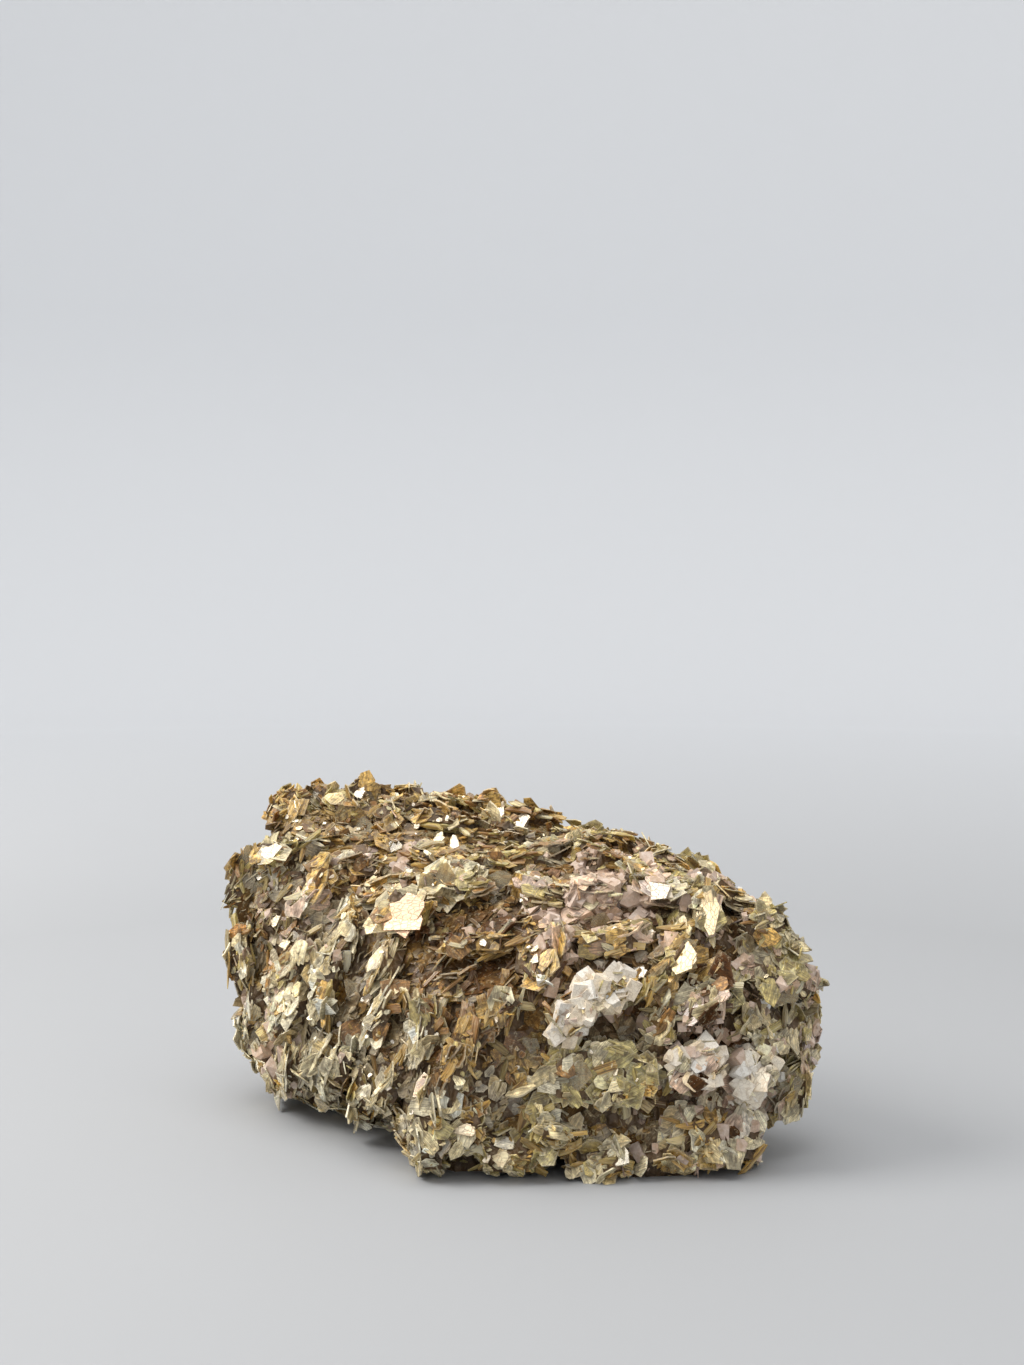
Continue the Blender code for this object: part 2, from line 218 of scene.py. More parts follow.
CRYSTALS = {
    "broad book": Crystal((-2, -22, 39), (0.5, -0.85, 0.6), (0.8, 0.5, -0.1), 10, 7.5, 6, 4),
    "tall scale": Crystal((38, 9, 41), (0.7, -0.5, 0.6), (-0.2, 0.4, 0.9), 9, 4.5, 6, 5),
    "ledge plate": Crystal((35, -11.5, 16.5), (0.8, -0.6, 0.2), (0.6, 0.75, 0.1), 20, 10, 6, 7),
    "leaning block": Crystal((32, -13.5, 27), (0.8, -0.6, 0.3), (0.4, 0.3, 0.9), 11, 5, 7, 6),
    "short block": Crystal((34.5, -8, 30), (0.7, -0.6, 0.4), (0.5, 0.4, 0.8), 6, 5, 7, 6),
    "ribbed block": Crystal((44.5, 0.5, 18), (0.8, -0.5, 0.3), (0.5, 0.8, 0.3), 9, 7, 7, 5),
    "end block": Crystal((48.5, 9.5, 16), (0.9, -0.4, 0.2), (0.3, 0.5, 0.9), 8, 6, 6, 6),
    "end leaf": Crystal((46, 20, 10.5), (0.7, -0.3, 0.2), (0.3, 0.8, 0.5), 8, 7, 5, 7),
    "corner rosette": Crystal((-40, -20, 51.5), (0.2, -0.6, 0.3), (0.3, 0.1, 1), 9, 7, 5, 6),
    "rosette leaf": Crystal((-43, -12, 52), (-0.8, -0.3, 0.2), (0.1, 0.3, 1), 8, 6, 4, 6),
    "high scale": Crystal((-35, -27, 45), (0.3, -0.7, 0.8), (0.9, 0.3, 0.1), 7, 4, 6, 6),
    "round scale": Crystal((0, -13, 43), (0.3, -0.6, 0.8), (0.9, 0.4, 0), 11, 8, 5, 8),
}


class Patch(NamedTuple):
    """A patch of the surface, how far it reaches, and the shares of each kind of mica in it."""

    at: tuple
    reach: float
    kinds: dict


PATCHES = (
    # the top, far end to near end
    Patch((-34, -8, 53), 13, {"golden": 6, "brown": 5, "olive": 2, "cream": 1}),
    Patch((-14, 6, 51), 15, {"golden": 5, "brown": 4, "olive": 3, "silver": 1, "cream": 1}),
    Patch((-12, -10, 46), 10, {"golden": 4, "brown": 3, "cream": 3, "silver": 2, "pink": 1}),
    Patch((4, -6, 45), 9, {"silver": 5, "olive": 4, "golden": 2, "brown": 1}),
    Patch((4, 12, 48), 9, {"golden": 4, "brown": 4, "olive": 2, "cream": 1}),
    Patch((22, 2, 44), 10, {"pink": 12, "cream": 2, "silver": 1}),
    Patch((24, 17, 45), 12, {"olive": 5, "silver": 4, "golden": 2, "pink": 1}),
    Patch((38, 9, 40), 7, {"cream": 4, "silver": 3, "golden": 3}),
    # the near end
    Patch((12, -20, 37), 9, {"brown": 7, "golden": 6, "dark": 2}),
    Patch((22, -22, 27), 9, {"golden": 5, "brown": 5, "olive": 3, "silver": 1}),
    Patch((34, -4, 34), 7, {"golden": 5, "olive": 4, "silver": 2}),
    Patch((32, -11, 27), 5, {"white": 6, "cream": 4, "pink": 3}),
    Patch((38, -3, 28), 4, {"brown": 6, "dark": 2, "golden": 2}),
    Patch((35, -9, 17), 8, {"cream": 6, "olive": 4, "silver": 2}),
    Patch((44, 2, 20), 6, {"silver": 5, "dark": 3, "pink": 3}),
    Patch((30, -17, 9), 9, {"olive": 4, "cream": 4, "golden": 5, "pale": 2}),
    Patch((42, -3, 5), 9, {"cream": 5, "pale": 3, "golden": 5, "pink": 2}),
    Patch((48, 12, 16), 6, {"white": 5, "silver": 4, "pink": 2}),
    Patch((48, 14, 29), 7, {"silver": 6, "olive": 4}),
    Patch((44, 11, 37), 5, {"pink": 6, "brown": 2, "silver": 2}),
    # the -Y side
    Patch((-2, -31, 27), 10, {"golden": 3, "cream": 4, "silver": 3, "brown": 2}),
    Patch((4, -32, 12), 10, {"cream": 5, "silver": 4, "pale": 5, "olive": 1, "golden": 2}),
    Patch((-12, -31, 20), 8, {"silver": 6, "olive": 2, "pale": 7}),
    Patch((-22, -30, 30), 9, {"cream": 5, "pale": 7, "pink": 2, "silver": 3}),
    Patch((-18, -30, 9), 11, {"cream": 5, "pale": 9, "silver": 2, "pink": 1}),
    Patch((-34, -31, 14), 10, {"cream": 5, "golden": 3, "pink": 2, "pale": 4}),
    Patch((-36, -31, 34), 9, {"olive": 4, "brown": 3, "silver": 3, "pale": 1}),
    # the far end and the back
    Patch((-46, -8, 34), 16, {"golden": 4, "olive": 3, "brown": 3, "cream": 2}),
    Patch((-20, 24, 28), 18, {"golden": 4, "olive": 3, "cream": 3, "brown": 2, "silver": 2}),
    Patch((10, 28, 24), 18, {"olive": 3, "silver": 4, "cream": 3, "golden": 3}),
    Patch((34, 28, 22), 14, {"silver": 4, "cream": 3, "pink": 2, "olive": 2}),
)

# the kinds of mica, each with the finish it shares
FINISH_OF = {
    "golden": "golden",
    "brown": "golden",
    "dark": "dark",
    "olive": "silver",
    "silver": "silver",
    "cream": "pale",
    "pale": "pale",
    "pink": "pale",
    "white": "pale",
    "chalk": "pale",
}


# the kind of each named crystal, and whether it shows as whole leaves or broken ones
NAMED = {
    "broad book": ("cream", "broken"),
    "tall scale": ("cream", "broken"),
    "ledge plate": ("olive", "whole"),
    "leaning block": ("chalk", "blocks"),
    "short block": ("chalk", "blocks"),
    "ribbed block": ("chalk", "blocks"),
    "end block": ("white", "blocks"),
    "end leaf": ("pale", "whole"),
    "corner rosette": ("golden", "broken"),
    "rosette leaf": ("brown", "broken"),
    "high scale": ("cream", "broken"),
    "round scale": ("silver", "whole"),
}


class Mirror(NamedTuple):
    """A bright leaf that lies square to the light: the pixel its middle shows at, its length
    and width in millimetres, the turn of its length in the main view, and its kind."""

    pixel: tuple
    length: float
    width: float
    turn: float
    kind: str


MIRRORS = (
    Mirror((271, 851), 4.4, 2.2, 0, "white"),
    Mirror((361, 793), 2.6, 1.8, 20, "white"),
    Mirror((404, 915), 8.8, 6.4, -8, "peach"),
    Mirror((437, 842), 4.5, 1.6, 55, "cream"),
    Mirror((455, 848), 2.6, 3.8, 10, "white"),
    Mirror((498, 811), 3.8, 2.8, 0, "white"),
    Mirror((522, 819), 3.6, 3.2, 20, "white"),
    Mirror((418, 825), 1.8, 1.2, 0, "white"),
    Mirror((333, 797), 1.4, 1.0, 0, "white"),
    Mirror((660, 890), 5.0, 2.6, -30, "white"),
    Mirror((708, 911), 7.2, 3.6, -65, "cream"),
    Mirror((682, 960), 5.4, 4.6, 80, "cream"),
    Mirror((639, 956), 3.4, 1.8, 0, "white"),
    Mirror((639, 972), 2.2, 2.0, 60, "white"),
    Mirror((535, 959), 1.6, 1.4, 0, "white"),
    Mirror((525, 899), 1.6, 1.2, 0, "white"),
    Mirror((494, 893), 1.4, 1.8, 0, "white"),
    Mirror((375, 1048), 2.0, 2.0, 0, "white"),
    Mirror((286, 944), 2.2, 1.6, 0, "cream"),
    Mirror((275, 920), 2.4, 1.6, 10, "white"),
    Mirror((443, 1144), 4.4, 2.0, 90, "white"),
    Mirror((502, 1158), 3.4, 2.2, -10, "cream"),
    Mirror((465, 1129), 4.0, 1.6, -15, "white"),
    Mirror((358, 1072), 3.2, 2.0, 0, "cream"),
    Mirror((632, 1150), 4.2, 1.6, 15, "white"),
    Mirror((757, 1078), 4.6, 4.0, 60, "white"),
    Mirror((650, 933), 1.6, 1.2, 0, "white"),
    Mirror((389, 1086), 1.2, 0.9, 0, "white"),
)


# where the broad clear leaves are in the main view, in pixels of its frame, and how broad in mm
CLEAR_PLACES = (
    (446, 882, 6.5), (500, 885, 6.0), (429, 886, 5.0), (602, 926, 4.5),
    (250, 858, 5.0), (256, 1032, 5.5), (780, 994, 5.0), (786, 1084, 6.5),
    (770, 1088, 5.5), (626, 1035, 3.8), (579, 1072, 5.5), (551, 1093, 5.0),
    (364, 828, 4.0), (395, 848, 3.6), (354, 991, 4.0), (531, 1045, 3.4),
)
CLEAR_TINT = (0.84, 0.74, 0.48)


# ---------------------------------------------------------------- sizes and colours


def linear(red, green, blue):
    """A colour given in the usual 0 to 255 steps, as Blender's light values."""
    steps = [step / 255 for step in (red, green, blue)]
    return tuple(s / 12.92 if s <= 0.04045 else ((s + 0.055) / 1.055) ** 2.4 for s in steps)


def colour(name, description, shade):
    return FloatVectorProperty(
        name=name, description=description, subtype="COLOR", size=3, min=0, max=1, default=shade
    )


def length(name, description, size):
    return FloatProperty(
        name=name, description=description, subtype="DISTANCE", unit="LENGTH", min=0, default=size * MM
    )


class MicaColours(bpy.types.PropertyGroup):
    """The colours of the kinds of mica."""

    golden: colour("Golden", "Golden-brown mica", linear(200, 162, 88))
    brown: colour("Brown", "Brown mica", linear(154, 113, 60))
    # dark is also the painted shade that deep leaves are blended toward and that all leaves in the
    # hollows take
    dark: colour("Dark", "Dark brown mica in the hollows", linear(80, 46, 16))
    olive: colour("Olive", "Grey-green mica", linear(186, 168, 104))
    silver: colour("Silver", "Silvery grey mica", linear(204, 189, 148))
    cream: colour("Cream", "Cream scales", linear(226, 208, 162))
    pale: colour("Pale", "Nearly white scales", linear(238, 226, 192))
    pink: colour("Pink", "Pinkish grains and scales", linear(200, 170, 146))
    white: colour("White", "White blocks and flakes", linear(238, 228, 208))
    chalk: colour("Chalk", "Chalky pinkish blocks", linear(236, 221, 196))
    peach: colour("Peach", "The pale orange sheet", linear(240, 188, 148))
    ground: colour("Ground", "The dense mica behind the leaves", linear(106, 80, 48))
    floor: colour("Floor", "The studio floor", linear(164, 166, 169))


class MicaSizes(bpy.types.PropertyGroup):
    """How large the leaves are and how many there are."""

    leaf: length("Leaf", "Thickness of one leaf of a book", 0.42)
    fan_leaf: length("Fan leaf", "Mean length of a leaf in a fan", 3.4)
    scale: length("Scale", "Mean length of a single scale", 2.5)
    chip: length("Chip", "Mean length of a chip", 1.35)
    grain: length("Grain", "Mean size of a blocky grain", 2.4)
    lining: IntProperty(name="Lining", description="Leaves flat on the books' sides", min=0, default=2600)
    fans: IntProperty(name="Fans", description="How many fans there are", min=0, default=850)
    sheaves: IntProperty(name="Sheaves", description="How many sheaves there are", min=0, default=3200)
    scales: IntProperty(name="Scales", description="How many scales there are", min=0, default=4700)
    chips: IntProperty(name="Chips", description="How many chips there are", min=0, default=12000)
    grains: IntProperty(name="Grains", description="How many grains there are", min=0, default=1000)
    glints: IntProperty(name="Glints", description="How many small bright chips", min=0, default=900)
    clear: IntProperty(name="Clear leaves", description="How many clear leaves", min=0, default=45)


# ---------------------------------------------------------------- the skin and the books


def spline(before, start, end, after, share):
    """A point of the Catmull-Rom curve, a given share of the way from start to end."""
    square = share * share
    return 0.5 * (
        2 * start
        + (end - before) * share
        + (2 * before - 5 * start + 4 * end - after) * square
        + (3 * start - before - 3 * end + after) * square * share
    )


def corners(section):
    """The section's six corners, anticlockwise seen from +X, starting at the +Y belly."""
    flanks = (
        (section.belly[1], section.belly_z),
        (section.crown[1], section.crown_z[1]),
        (section.crown[0], section.crown_z[0]),
        (section.belly[0], section.belly_z),
        (section.base[0], section.base_z),
        (section.base[1], section.base_z),
    )
    return [Vector((section.x, y, z)) for y, z in flanks]


OUTLINES = [corners(section) for section in SECTIONS]


def smooth_skin(u, v):
    """A point of the skin without its pits: u runs from far end to near end, v goes around."""
    along = min(max(u, 0.0), 1.0) * (len(OUTLINES) - 1)
    i = min(int(along), len(OUTLINES) - 2)
    turn = (v % 1.0) * 6
    j = int(turn) % 6
    row = []
    for k in range(-1, 3):
        ring = OUTLINES[min(max(i + k, 0), len(OUTLINES) - 1)]
        row.append(spline(ring[j - 1], ring[j], ring[(j + 1) % 6], ring[(j + 2) % 6], turn - j))
    return spline(*row, along - i)


def skin_normal(u, v):
    """The way out of the mass at a point of the skin."""
    step = 0.004
    along = smooth_skin(min(u + step, 1.0), v) - smooth_skin(max(u - step, 0.0), v)
    around = smooth_skin(u, v + step) - smooth_skin(u, v - step)
    out = around.cross(along)
    return out.normalized()


def dent(point):
    """How far the pits push a point of the skin inwards."""
    total = 0.0
    for pit in PITS:
        gap = (point - Vector(pit.at)).length / pit.radius
        total += pit.depth * math.exp(-gap * gap)
    return total


def book_outline(rng, sides, length, width, thickness):
    """The two rims of one book, in its own axes: X along it, Z through its thickness."""
    start = rng.uniform(0, math.tau)
    low, high = [], []
    for i in range(sides):
        angle = start + math.tau * (i + rng.uniform(-CORNER_SHIFT, CORNER_SHIFT)) / sides
        radius = rng.uniform(*CORNER_SPREAD)
        rim = Vector((length * radius * math.cos(angle), width * radius * math.sin(angle), 0)) / 2
        low.append(rim - Vector((0, 0, thickness / 2)))
        high.append(rim * rng.uniform(*TAPER) + Vector((0, 0, thickness / 2)))
    return low, high


def turn_to(facing, along):
    """The turn that takes Z to facing and X as near as it can to along."""
    z = facing.normalized()
    x = (along - z * along.dot(z)).normalized()
    return Matrix((x, z.cross(x), z)).transposed()


def zone_at(point):
    return min(ZONES, key=lambda zone: (Vector(zone.at) - point).length)


def seats(rng):
    """Places on the skin for the books, spread evenly and clear of the named crystals."""
    taken = [Vector(crystal.at) for crystal in CRYSTALS.values()]
    found = []
    step = 0.01
    for _ in range(SEAT_TRIES):
        u, v = rng.random(), rng.random()
        point = smooth_skin(u, v)
        along = smooth_skin(min(u + step, 1.0), v) - point
        around = smooth_skin(u, v + step) - point
        area = along.cross(around).length / step**2
        if rng.random() * LARGEST_PATCH > area:
            continue
        if all((point - other).length > SPACING for other in taken):
            taken.append(point)
            found.append((point, skin_normal(u, v)))
    return found


def habit(rng, zone, out):
    """A book's facing and the way its length runs, for a place whose surface looks out."""
    strike = Vector(zone.strike)
    edge = strike - out * strike.dot(out)
    if edge.length < 0.1:
        edge = out.orthogonal()
    edge.rotate(Matrix.Rotation(math.radians(rng.gauss(0, zone.spread)), 3, out))
    edge.normalize()
    lean = math.radians(rng.gauss(zone.lean, zone.spread / 2))
    facing = out * math.cos(lean) + out.cross(edge) * math.sin(lean)
    return facing, edge


class Book(NamedTuple):
    """One of the model's books: the middle of its body, its axes, its size and, where it is
    one of the named crystals, its name."""

    at: Vector
    facing: Vector
    along: Vector
    length: float
    width: float
    thickness: float
    name: str


def model_books():
    """The model's books, worked out as the model works them out."""
    rng = Random(SEED)
    found = []
    for name, crystal in CRYSTALS.items():
        book_outline(rng, crystal.sides, crystal.length, crystal.width, crystal.depth)
        facing = Vector(crystal.facing).normalized()
        at = Vector(crystal.at) - facing * crystal.depth / 2
        sizes = (crystal.length, crystal.width, crystal.depth)
        found.append(Book(at + TABLE_ORIGIN, facing, Vector(crystal.along), *sizes, name))
    for _ in range(FEET):
        book_outline(rng, FOOT_SIDES, 1.0, 1.0, 1.0)
    for point, out in seats(rng):
        zone = zone_at(point)
        facing, edge = habit(rng, zone, out)
        turn = turn_to(facing, edge)
        size = rng.uniform(*zone.length)
        width = size * rng.uniform(*WIDTH_SHARE)
        sides = rng.choice(zone.sides)
        thickness = rng.uniform(*zone.thickness)
        rims = book_outline(rng, sides, size, width, thickness)
        heights = [out.dot(turn @ corner) for rim in rims for corner in rim]
        tip = max(heights)
        reach = min(rng.uniform(*REACH), tip - min(heights) - BITE)
        at = point + out * (reach - tip - dent(point)) + TABLE_ORIGIN
        found.append(Book(at, facing, edge, size, width, thickness, ""))
    return found


# ---------------------------------------------------------------- the surface of the model


# the share of a pit's depth that isn't counted as lying below the skin
DENT_SHARE = 0.55
# depths below the skin where the painted shade starts to darken the mica and where it is darkest
SHALLOW = 1.4
DEEP = 4.6
# below HOLLOW every leaf takes the dark kind as painted shade, below OPEN a share of the fans and scales
# is left out
HOLLOW = 3.6
OPEN = 3.2
FANS_LEFT_OUT = 0.7
SCALES_LEFT_OUT = 0.3
# how wide the clusters of one kind are, how loosely the kinds mix, how much finer the small
# clusters are, and how wide the drift between kinds spreads
CLUSTER = 3.4
LOOSE = 0.16
FINER = 2.3
DRIFT_SPREAD = 0.5
# how wide the books are in which neighbouring leaves lie nearly parallel
BOOK_SPREAD = 4.6


class Spot(NamedTuple):
    """A place on the model's surface: the way out of the mass there, the way its own facet
    looks, and how far it lies below the skin."""

    at: Vector
    out: Vector
    facet: Vector
    depth: float


class Surface:
    """The model's surface, to scatter things over and to find at given pixels."""

    GRID = (72, 90)

    def __init__(self, node):
        mesh = node.data
        mesh.calc_loop_triangles()
        points = np.array([vertex.co for vertex in mesh.vertices]) / MM
        faces = np.array([triangle.vertices for triangle in mesh.loop_triangles])
        self.corners = points[faces]
        cross = np.cross(
            self.corners[:, 1] - self.corners[:, 0], self.corners[:, 2] - self.corners[:, 0]
        )
        area = np.linalg.norm(cross, axis=1)
        self.normals = cross / np.maximum(area, 1e-9)[:, None]
        self.shares = area / area.sum()
        self.tree = BVHTree.FromPolygons(points.tolist(), faces.tolist())
        rows, columns = self.GRID
        self.skin = KDTree(rows * columns)
        self.ways = []
        for i in range(rows):
            for j in range(columns):
                u, v = (i + 0.5) / rows, j / columns
                self.skin.insert(smooth_skin(u, v) + TABLE_ORIGIN, len(self.ways))
                self.ways.append(skin_normal(u, v))
        self.skin.balance()
        self.bare = [(self.seen_at(mirror.pixel).at, mirror.width * 0.5) for mirror in MIRRORS]

    def spot(self, at, facet):
        nearest, number, _ = self.skin.find(at)
        out = self.ways[number]
        depth = (nearest - at).dot(out) - DENT_SHARE * dent(at - TABLE_ORIGIN)
        return Spot(at, out, facet, depth)

    def spots(self, count, seed, lowest=1.0):
        """Places spread evenly over the surface, but for the flat feet."""
        rng = np.random.default_rng(seed)
        which = rng.choice(len(self.shares), size=count, p=self.shares)
        a, b = np.sqrt(rng.random(count)), rng.random(count)
        weights = np.stack([1 - a, a * (1 - b), a * b], axis=1)
        points = np.einsum("nk,nki->ni", weights, self.corners[which])
        found = []
        for point, facet in zip(points, self.normals[which]):
            spot = self.spot(Vector(point), Vector(facet))
            if point[2] > lowest and not self.kept_bare(spot.at):
                found.append(spot)
        return found

    def kept_bare(self, point):
        """Whether a point is where one of the bright leaves lies."""
        return any((point - at).length < reach for at, reach in self.bare)

    def seen_at(self, pixel):
        """The place on the surface that shows at a pixel of the main view."""
        start, way = sight_line(pixel)
        at, facet, _, _ = self.tree.ray_cast(start, way)
        if at is None:
            raise ValueError(f"nothing shows at pixel {pixel}")
        return self.spot(at, facet)


def kind_at(rng, point):
    """The kind of mica that grows at a place, by the shares of the patches around it, in clusters."""
    shares = {}
    here = point - TABLE_ORIGIN
    for patch in PATCHES:
        gap = (here - Vector(patch.at)).length / patch.reach
        weight = math.exp(-gap * gap) + 1e-6 / (1 + gap**4)
        total = sum(patch.kinds.values())
        for kind, share in patch.kinds.items():
            shares[kind] = shares.get(kind, 0.0) + weight * share / total
    drift = noise.noise(here / CLUSTER) + 0.5 * noise.noise(here / CLUSTER * FINER)
    drift += rng.gauss(0, LOOSE)
    pick = (0.5 + 0.5 * math.erf(drift / DRIFT_SPREAD)) * sum(shares.values())
    for kind, share in shares.items():
        pick -= share
        if pick <= 0:
            break
    return kind


# ---------------------------------------------------------------- camera and light

VIEW_AZIMUTH = math.radians(50.0)
VIEW_PITCH = math.radians(4.0)
CAMERA_AT = Vector((255.8, -213.4, 98.8))
LENS = 52.0
SENSOR = 36.0
FRAME_SIZE = (1024, 1365)
# from the mass to the window, and the window's size
KEY_WAY = Vector((-0.74, -0.06, 0.67))
KEY_DISTANCE = 620.0
KEY_SIZE = 320.0
KEY_ENERGY = 3.15
KEY_COLOUR = (1.0, 0.97, 0.93)
# the height the window looks at, the ceiling light and the room, in metres
AIM_HEIGHT = 0.03
CEILING_SIZE = 0.8
CEILING_HEIGHT = 1.1
CEILING_ENERGY = 5.0
ROOM_COLOUR = (1.0, 0.985, 0.96, 1)
ROOM_STRENGTH = 0.84
# the studio floor, in metres, and its tones as shares of its colour; the wall's paler tone is painted
# light that makes up for the weaker light there
FLOOR_RADIUS = 0.75
SWEEP = 0.25
SWEEP_STEPS = 12
WALL_HEIGHT = 0.35
PALER_FROM = 0.2
DULL_TONE = 0.96
WALL_LIGHT_TONE = 1.74


def view_axes():
    """Right, up and forward of the main view."""
    right = Vector((math.cos(VIEW_AZIMUTH), math.sin(VIEW_AZIMUTH), 0))
    level = Vector((-math.sin(VIEW_AZIMUTH), math.cos(VIEW_AZIMUTH), 0))
    forward = level * math.cos(VIEW_PITCH) - Vector((0, 0, math.sin(VIEW_PITCH)))
    return right, right.cross(forward), forward


def sight_line(pixel):
    """Where the line through a pixel starts and the way it goes."""
    right, up, forward = view_axes()
    focal = LENS / SENSOR * FRAME_SIZE[1]
    across = (pixel[0] - FRAME_SIZE[0] / 2) / focal
    down = (pixel[1] - FRAME_SIZE[1] / 2) / focal
    return CAMERA_AT, (forward + right * across - up * down).normalized()


def key_way():
    """The way from the mass to the window: leftward, away from the camera and up."""
    right, _, forward = view_axes()
    level = Vector((forward.x, forward.y, 0)).normalized()
    return (right * KEY_WAY.x + level * KEY_WAY.y + Vector((0, 0, KEY_WAY.z))).normalized()


# ---------------------------------------------------------------- shapes that repeat


class Shape(NamedTuple):
    """A closed shape one unit across: its points, its triangles and how near the rim each is."""

    points: np.ndarray
    triangles: np.ndarray
    rim: np.ndarray


def taken_off():
    """The active object as a Shape, taken out of the scene."""
    item = bpy.context.active_object
    points = np.array([vertex.co for vertex in item.data.vertices])
    triangles = np.array([face.vertices for face in item.data.polygons])
    rim = np.minimum(np.hypot(points[:, 0], points[:, 1]) / 0.45, 1.0)
    mesh = item.data
    bpy.data.objects.remove(item)
    bpy.data.meshes.remove(mesh)
    return Shape(points, triangles, rim)


def leaf_shape(rng, rim, cuts, domed=True):
    """A sheet of mica one across and one thick: a disc broken off straight on some sides."""
    bpy.ops.object.select_all(action="DESELECT")
    bpy.ops.mesh.primitive_circle_add(
        vertices=rim, radius=0.5, fill_type="NGON", location=(0, 0, -0.5), rotation=(0, 0, 0)
    )
    bpy.ops.object.transform_apply(location=True, rotation=False, scale=False)
    bpy.ops.object.mode_set(mode="EDIT")
    start = rng.uniform(0, math.tau)
    for i in range(cuts):
        angle = start + math.tau * (i + rng.uniform(-0.3, 0.3)) / cuts
        way = Vector((math.cos(angle), math.sin(angle), 0))
        bpy.ops.mesh.select_all(action="SELECT")
        bpy.ops.mesh.bisect(
            plane_co=way * rng.uniform(0.3, 0.44), plane_no=way, clear_outer=True, threshold=0.001
        )
    bpy.ops.mesh.select_all(action="SELECT")
    bpy.ops.mesh.extrude_region_move(TRANSFORM_OT_translate={"value": (0, 0, 1)})
    bpy.ops.mesh.select_all(action="SELECT")
    bpy.ops.mesh.normals_make_consistent(inside=False)
    bpy.ops.mesh.select_all(action="DESELECT")
    bpy.ops.mesh.select_mode(type="FACE")
    mesh = bmesh.from_edit_mesh(bpy.context.active_object.data)
    for face in mesh.faces:
        face.select_set(abs(face.normal.z) > 0.9)
    bmesh.update_edit_mesh(bpy.context.active_object.data)
    if domed:
        bpy.ops.mesh.poke()
    bpy.ops.mesh.select_all(action="SELECT")
    bpy.ops.mesh.quads_convert_to_tris()
    bpy.ops.object.mode_set(mode="OBJECT")
    shape = taken_off()
    return shape if domed else shape._replace(rim=shape.rim * 0.7)


def block_shape(rng, cuts):
    """A cleaved block one unit across: a cube with its corners broken off."""
    bpy.ops.object.select_all(action="DESELECT")
    bpy.ops.mesh.primitive_cube_add(size=0.86)
    bpy.ops.object.mode_set(mode="EDIT")
    for _ in range(cuts):
        way = Vector((rng.uniform(-1, 1), rng.uniform(-1, 1), rng.uniform(-1, 1))).normalized()
        bpy.ops.mesh.select_all(action="SELECT")
        bpy.ops.mesh.bisect(
            plane_co=way * rng.uniform(0.38, 0.5), plane_no=way, clear_outer=True, use_fill=True
        )
    bpy.ops.mesh.select_all(action="SELECT")
    bpy.ops.mesh.quads_convert_to_tris()
    bpy.ops.mesh.normals_make_consistent(inside=False)
    bpy.ops.object.mode_set(mode="OBJECT")
    return taken_off()


# where a sheaf is cut across, and how far each cut may move
SHEAF_CUTS = (-0.32, -0.08, 0.16, 0.36)
CUT_SHIFT = 0.05
# the stretches of a sheaf that are narrowed, each with the shares of its width and height left
SHEAF_WAISTS = (
    (-0.6, -0.45, 0.35, 0.4),
    (-0.4, -0.2, 0.7, 0.8),
    (0.4, 0.6, 0.9, 0.35),
)


def sheaf_shape(rng):
    """A narrow book lying on its edge, one unit long, that opens towards one end."""
    bpy.ops.object.select_all(action="DESELECT")
    bpy.ops.mesh.primitive_cube_add(size=1.0)
    bpy.ops.object.mode_set(mode="EDIT")
    for x in SHEAF_CUTS:
        bpy.ops.mesh.select_all(action="SELECT")
        bpy.ops.mesh.bisect(plane_co=(x + rng.uniform(-CUT_SHIFT, CUT_SHIFT), 0, 0), plane_no=(1, 0, 0))
    bpy.ops.mesh.select_mode(type="VERT")
    for low, high, broad, deep in SHEAF_WAISTS:
        bpy.ops.mesh.select_all(action="DESELECT")
        mesh = bmesh.from_edit_mesh(bpy.context.active_object.data)
        for vertex in mesh.verts:
            vertex.select_set(low < vertex.co.x < high)
        mesh.select_flush(True)
        bmesh.update_edit_mesh(bpy.context.active_object.data)
        bpy.ops.transform.resize(value=(1, broad * rng.uniform(0.8, 1.2), deep))
    bpy.ops.mesh.select_all(action="SELECT")
    bpy.ops.mesh.quads_convert_to_tris()
    bpy.ops.mesh.normals_make_consistent(inside=False)
    bpy.ops.object.mode_set(mode="OBJECT")
    return taken_off()


class Leaf(NamedTuple):
    """One copy of a shape: where its middle is, its axes, its size in millimetres, its bend,
    its colour, how much it shines and how much it sweeps to one side."""

    at: Vector
    facing: Vector
    along: Vector
    size: tuple
    bend: float
    tint: tuple
    shine: float
    sweep: float = 0.0


def tinted(rng, kind, spread=0.14, depth=0.0):
    """A kind's colour, a little lighter or darker and a little warmer or cooler, and, as painted shade,
    darker and browner the deeper the place lies."""
    base = getattr(bpy.context.scene.mica_colours, kind)
    hollow_shade = min(max((depth - SHALLOW) / (DEEP - SHALLOW), 0.0), 1.0)
    light = math.exp(rng.gauss(0, spread))
    warm = rng.gauss(0, 0.04)
    red, green, blue = base
    shade = Vector((red * (1 + warm), green, blue * (1 - 2 * warm))) * light
    # painted shade: the deeper the place, the nearer the colour comes to the dark colour
    shade = shade.lerp(Vector(bpy.context.scene.mica_colours.dark), 0.9 * hollow_shade)
    return tuple(min(max(part, 0.0), 1.0) for part in shade)


def painted_shade_kind(kind, depth):
    """The kind of a leaf at a depth: in the hollows all take the dark kind, as painted shade."""
    return "dark" if depth > HOLLOW else kind


def axes(leaves):
    """The turn of every leaf as one array of matrices."""
    z = np.array([leaf.facing for leaf in leaves])
    x = np.array([leaf.along for leaf in leaves])
    z /= np.linalg.norm(z, axis=1)[:, None]
    x -= z * (x * z).sum(axis=1)[:, None]
    x /= np.maximum(np.linalg.norm(x, axis=1), 1e-6)[:, None]
    return np.stack([x, np.cross(z, x), z], axis=2)


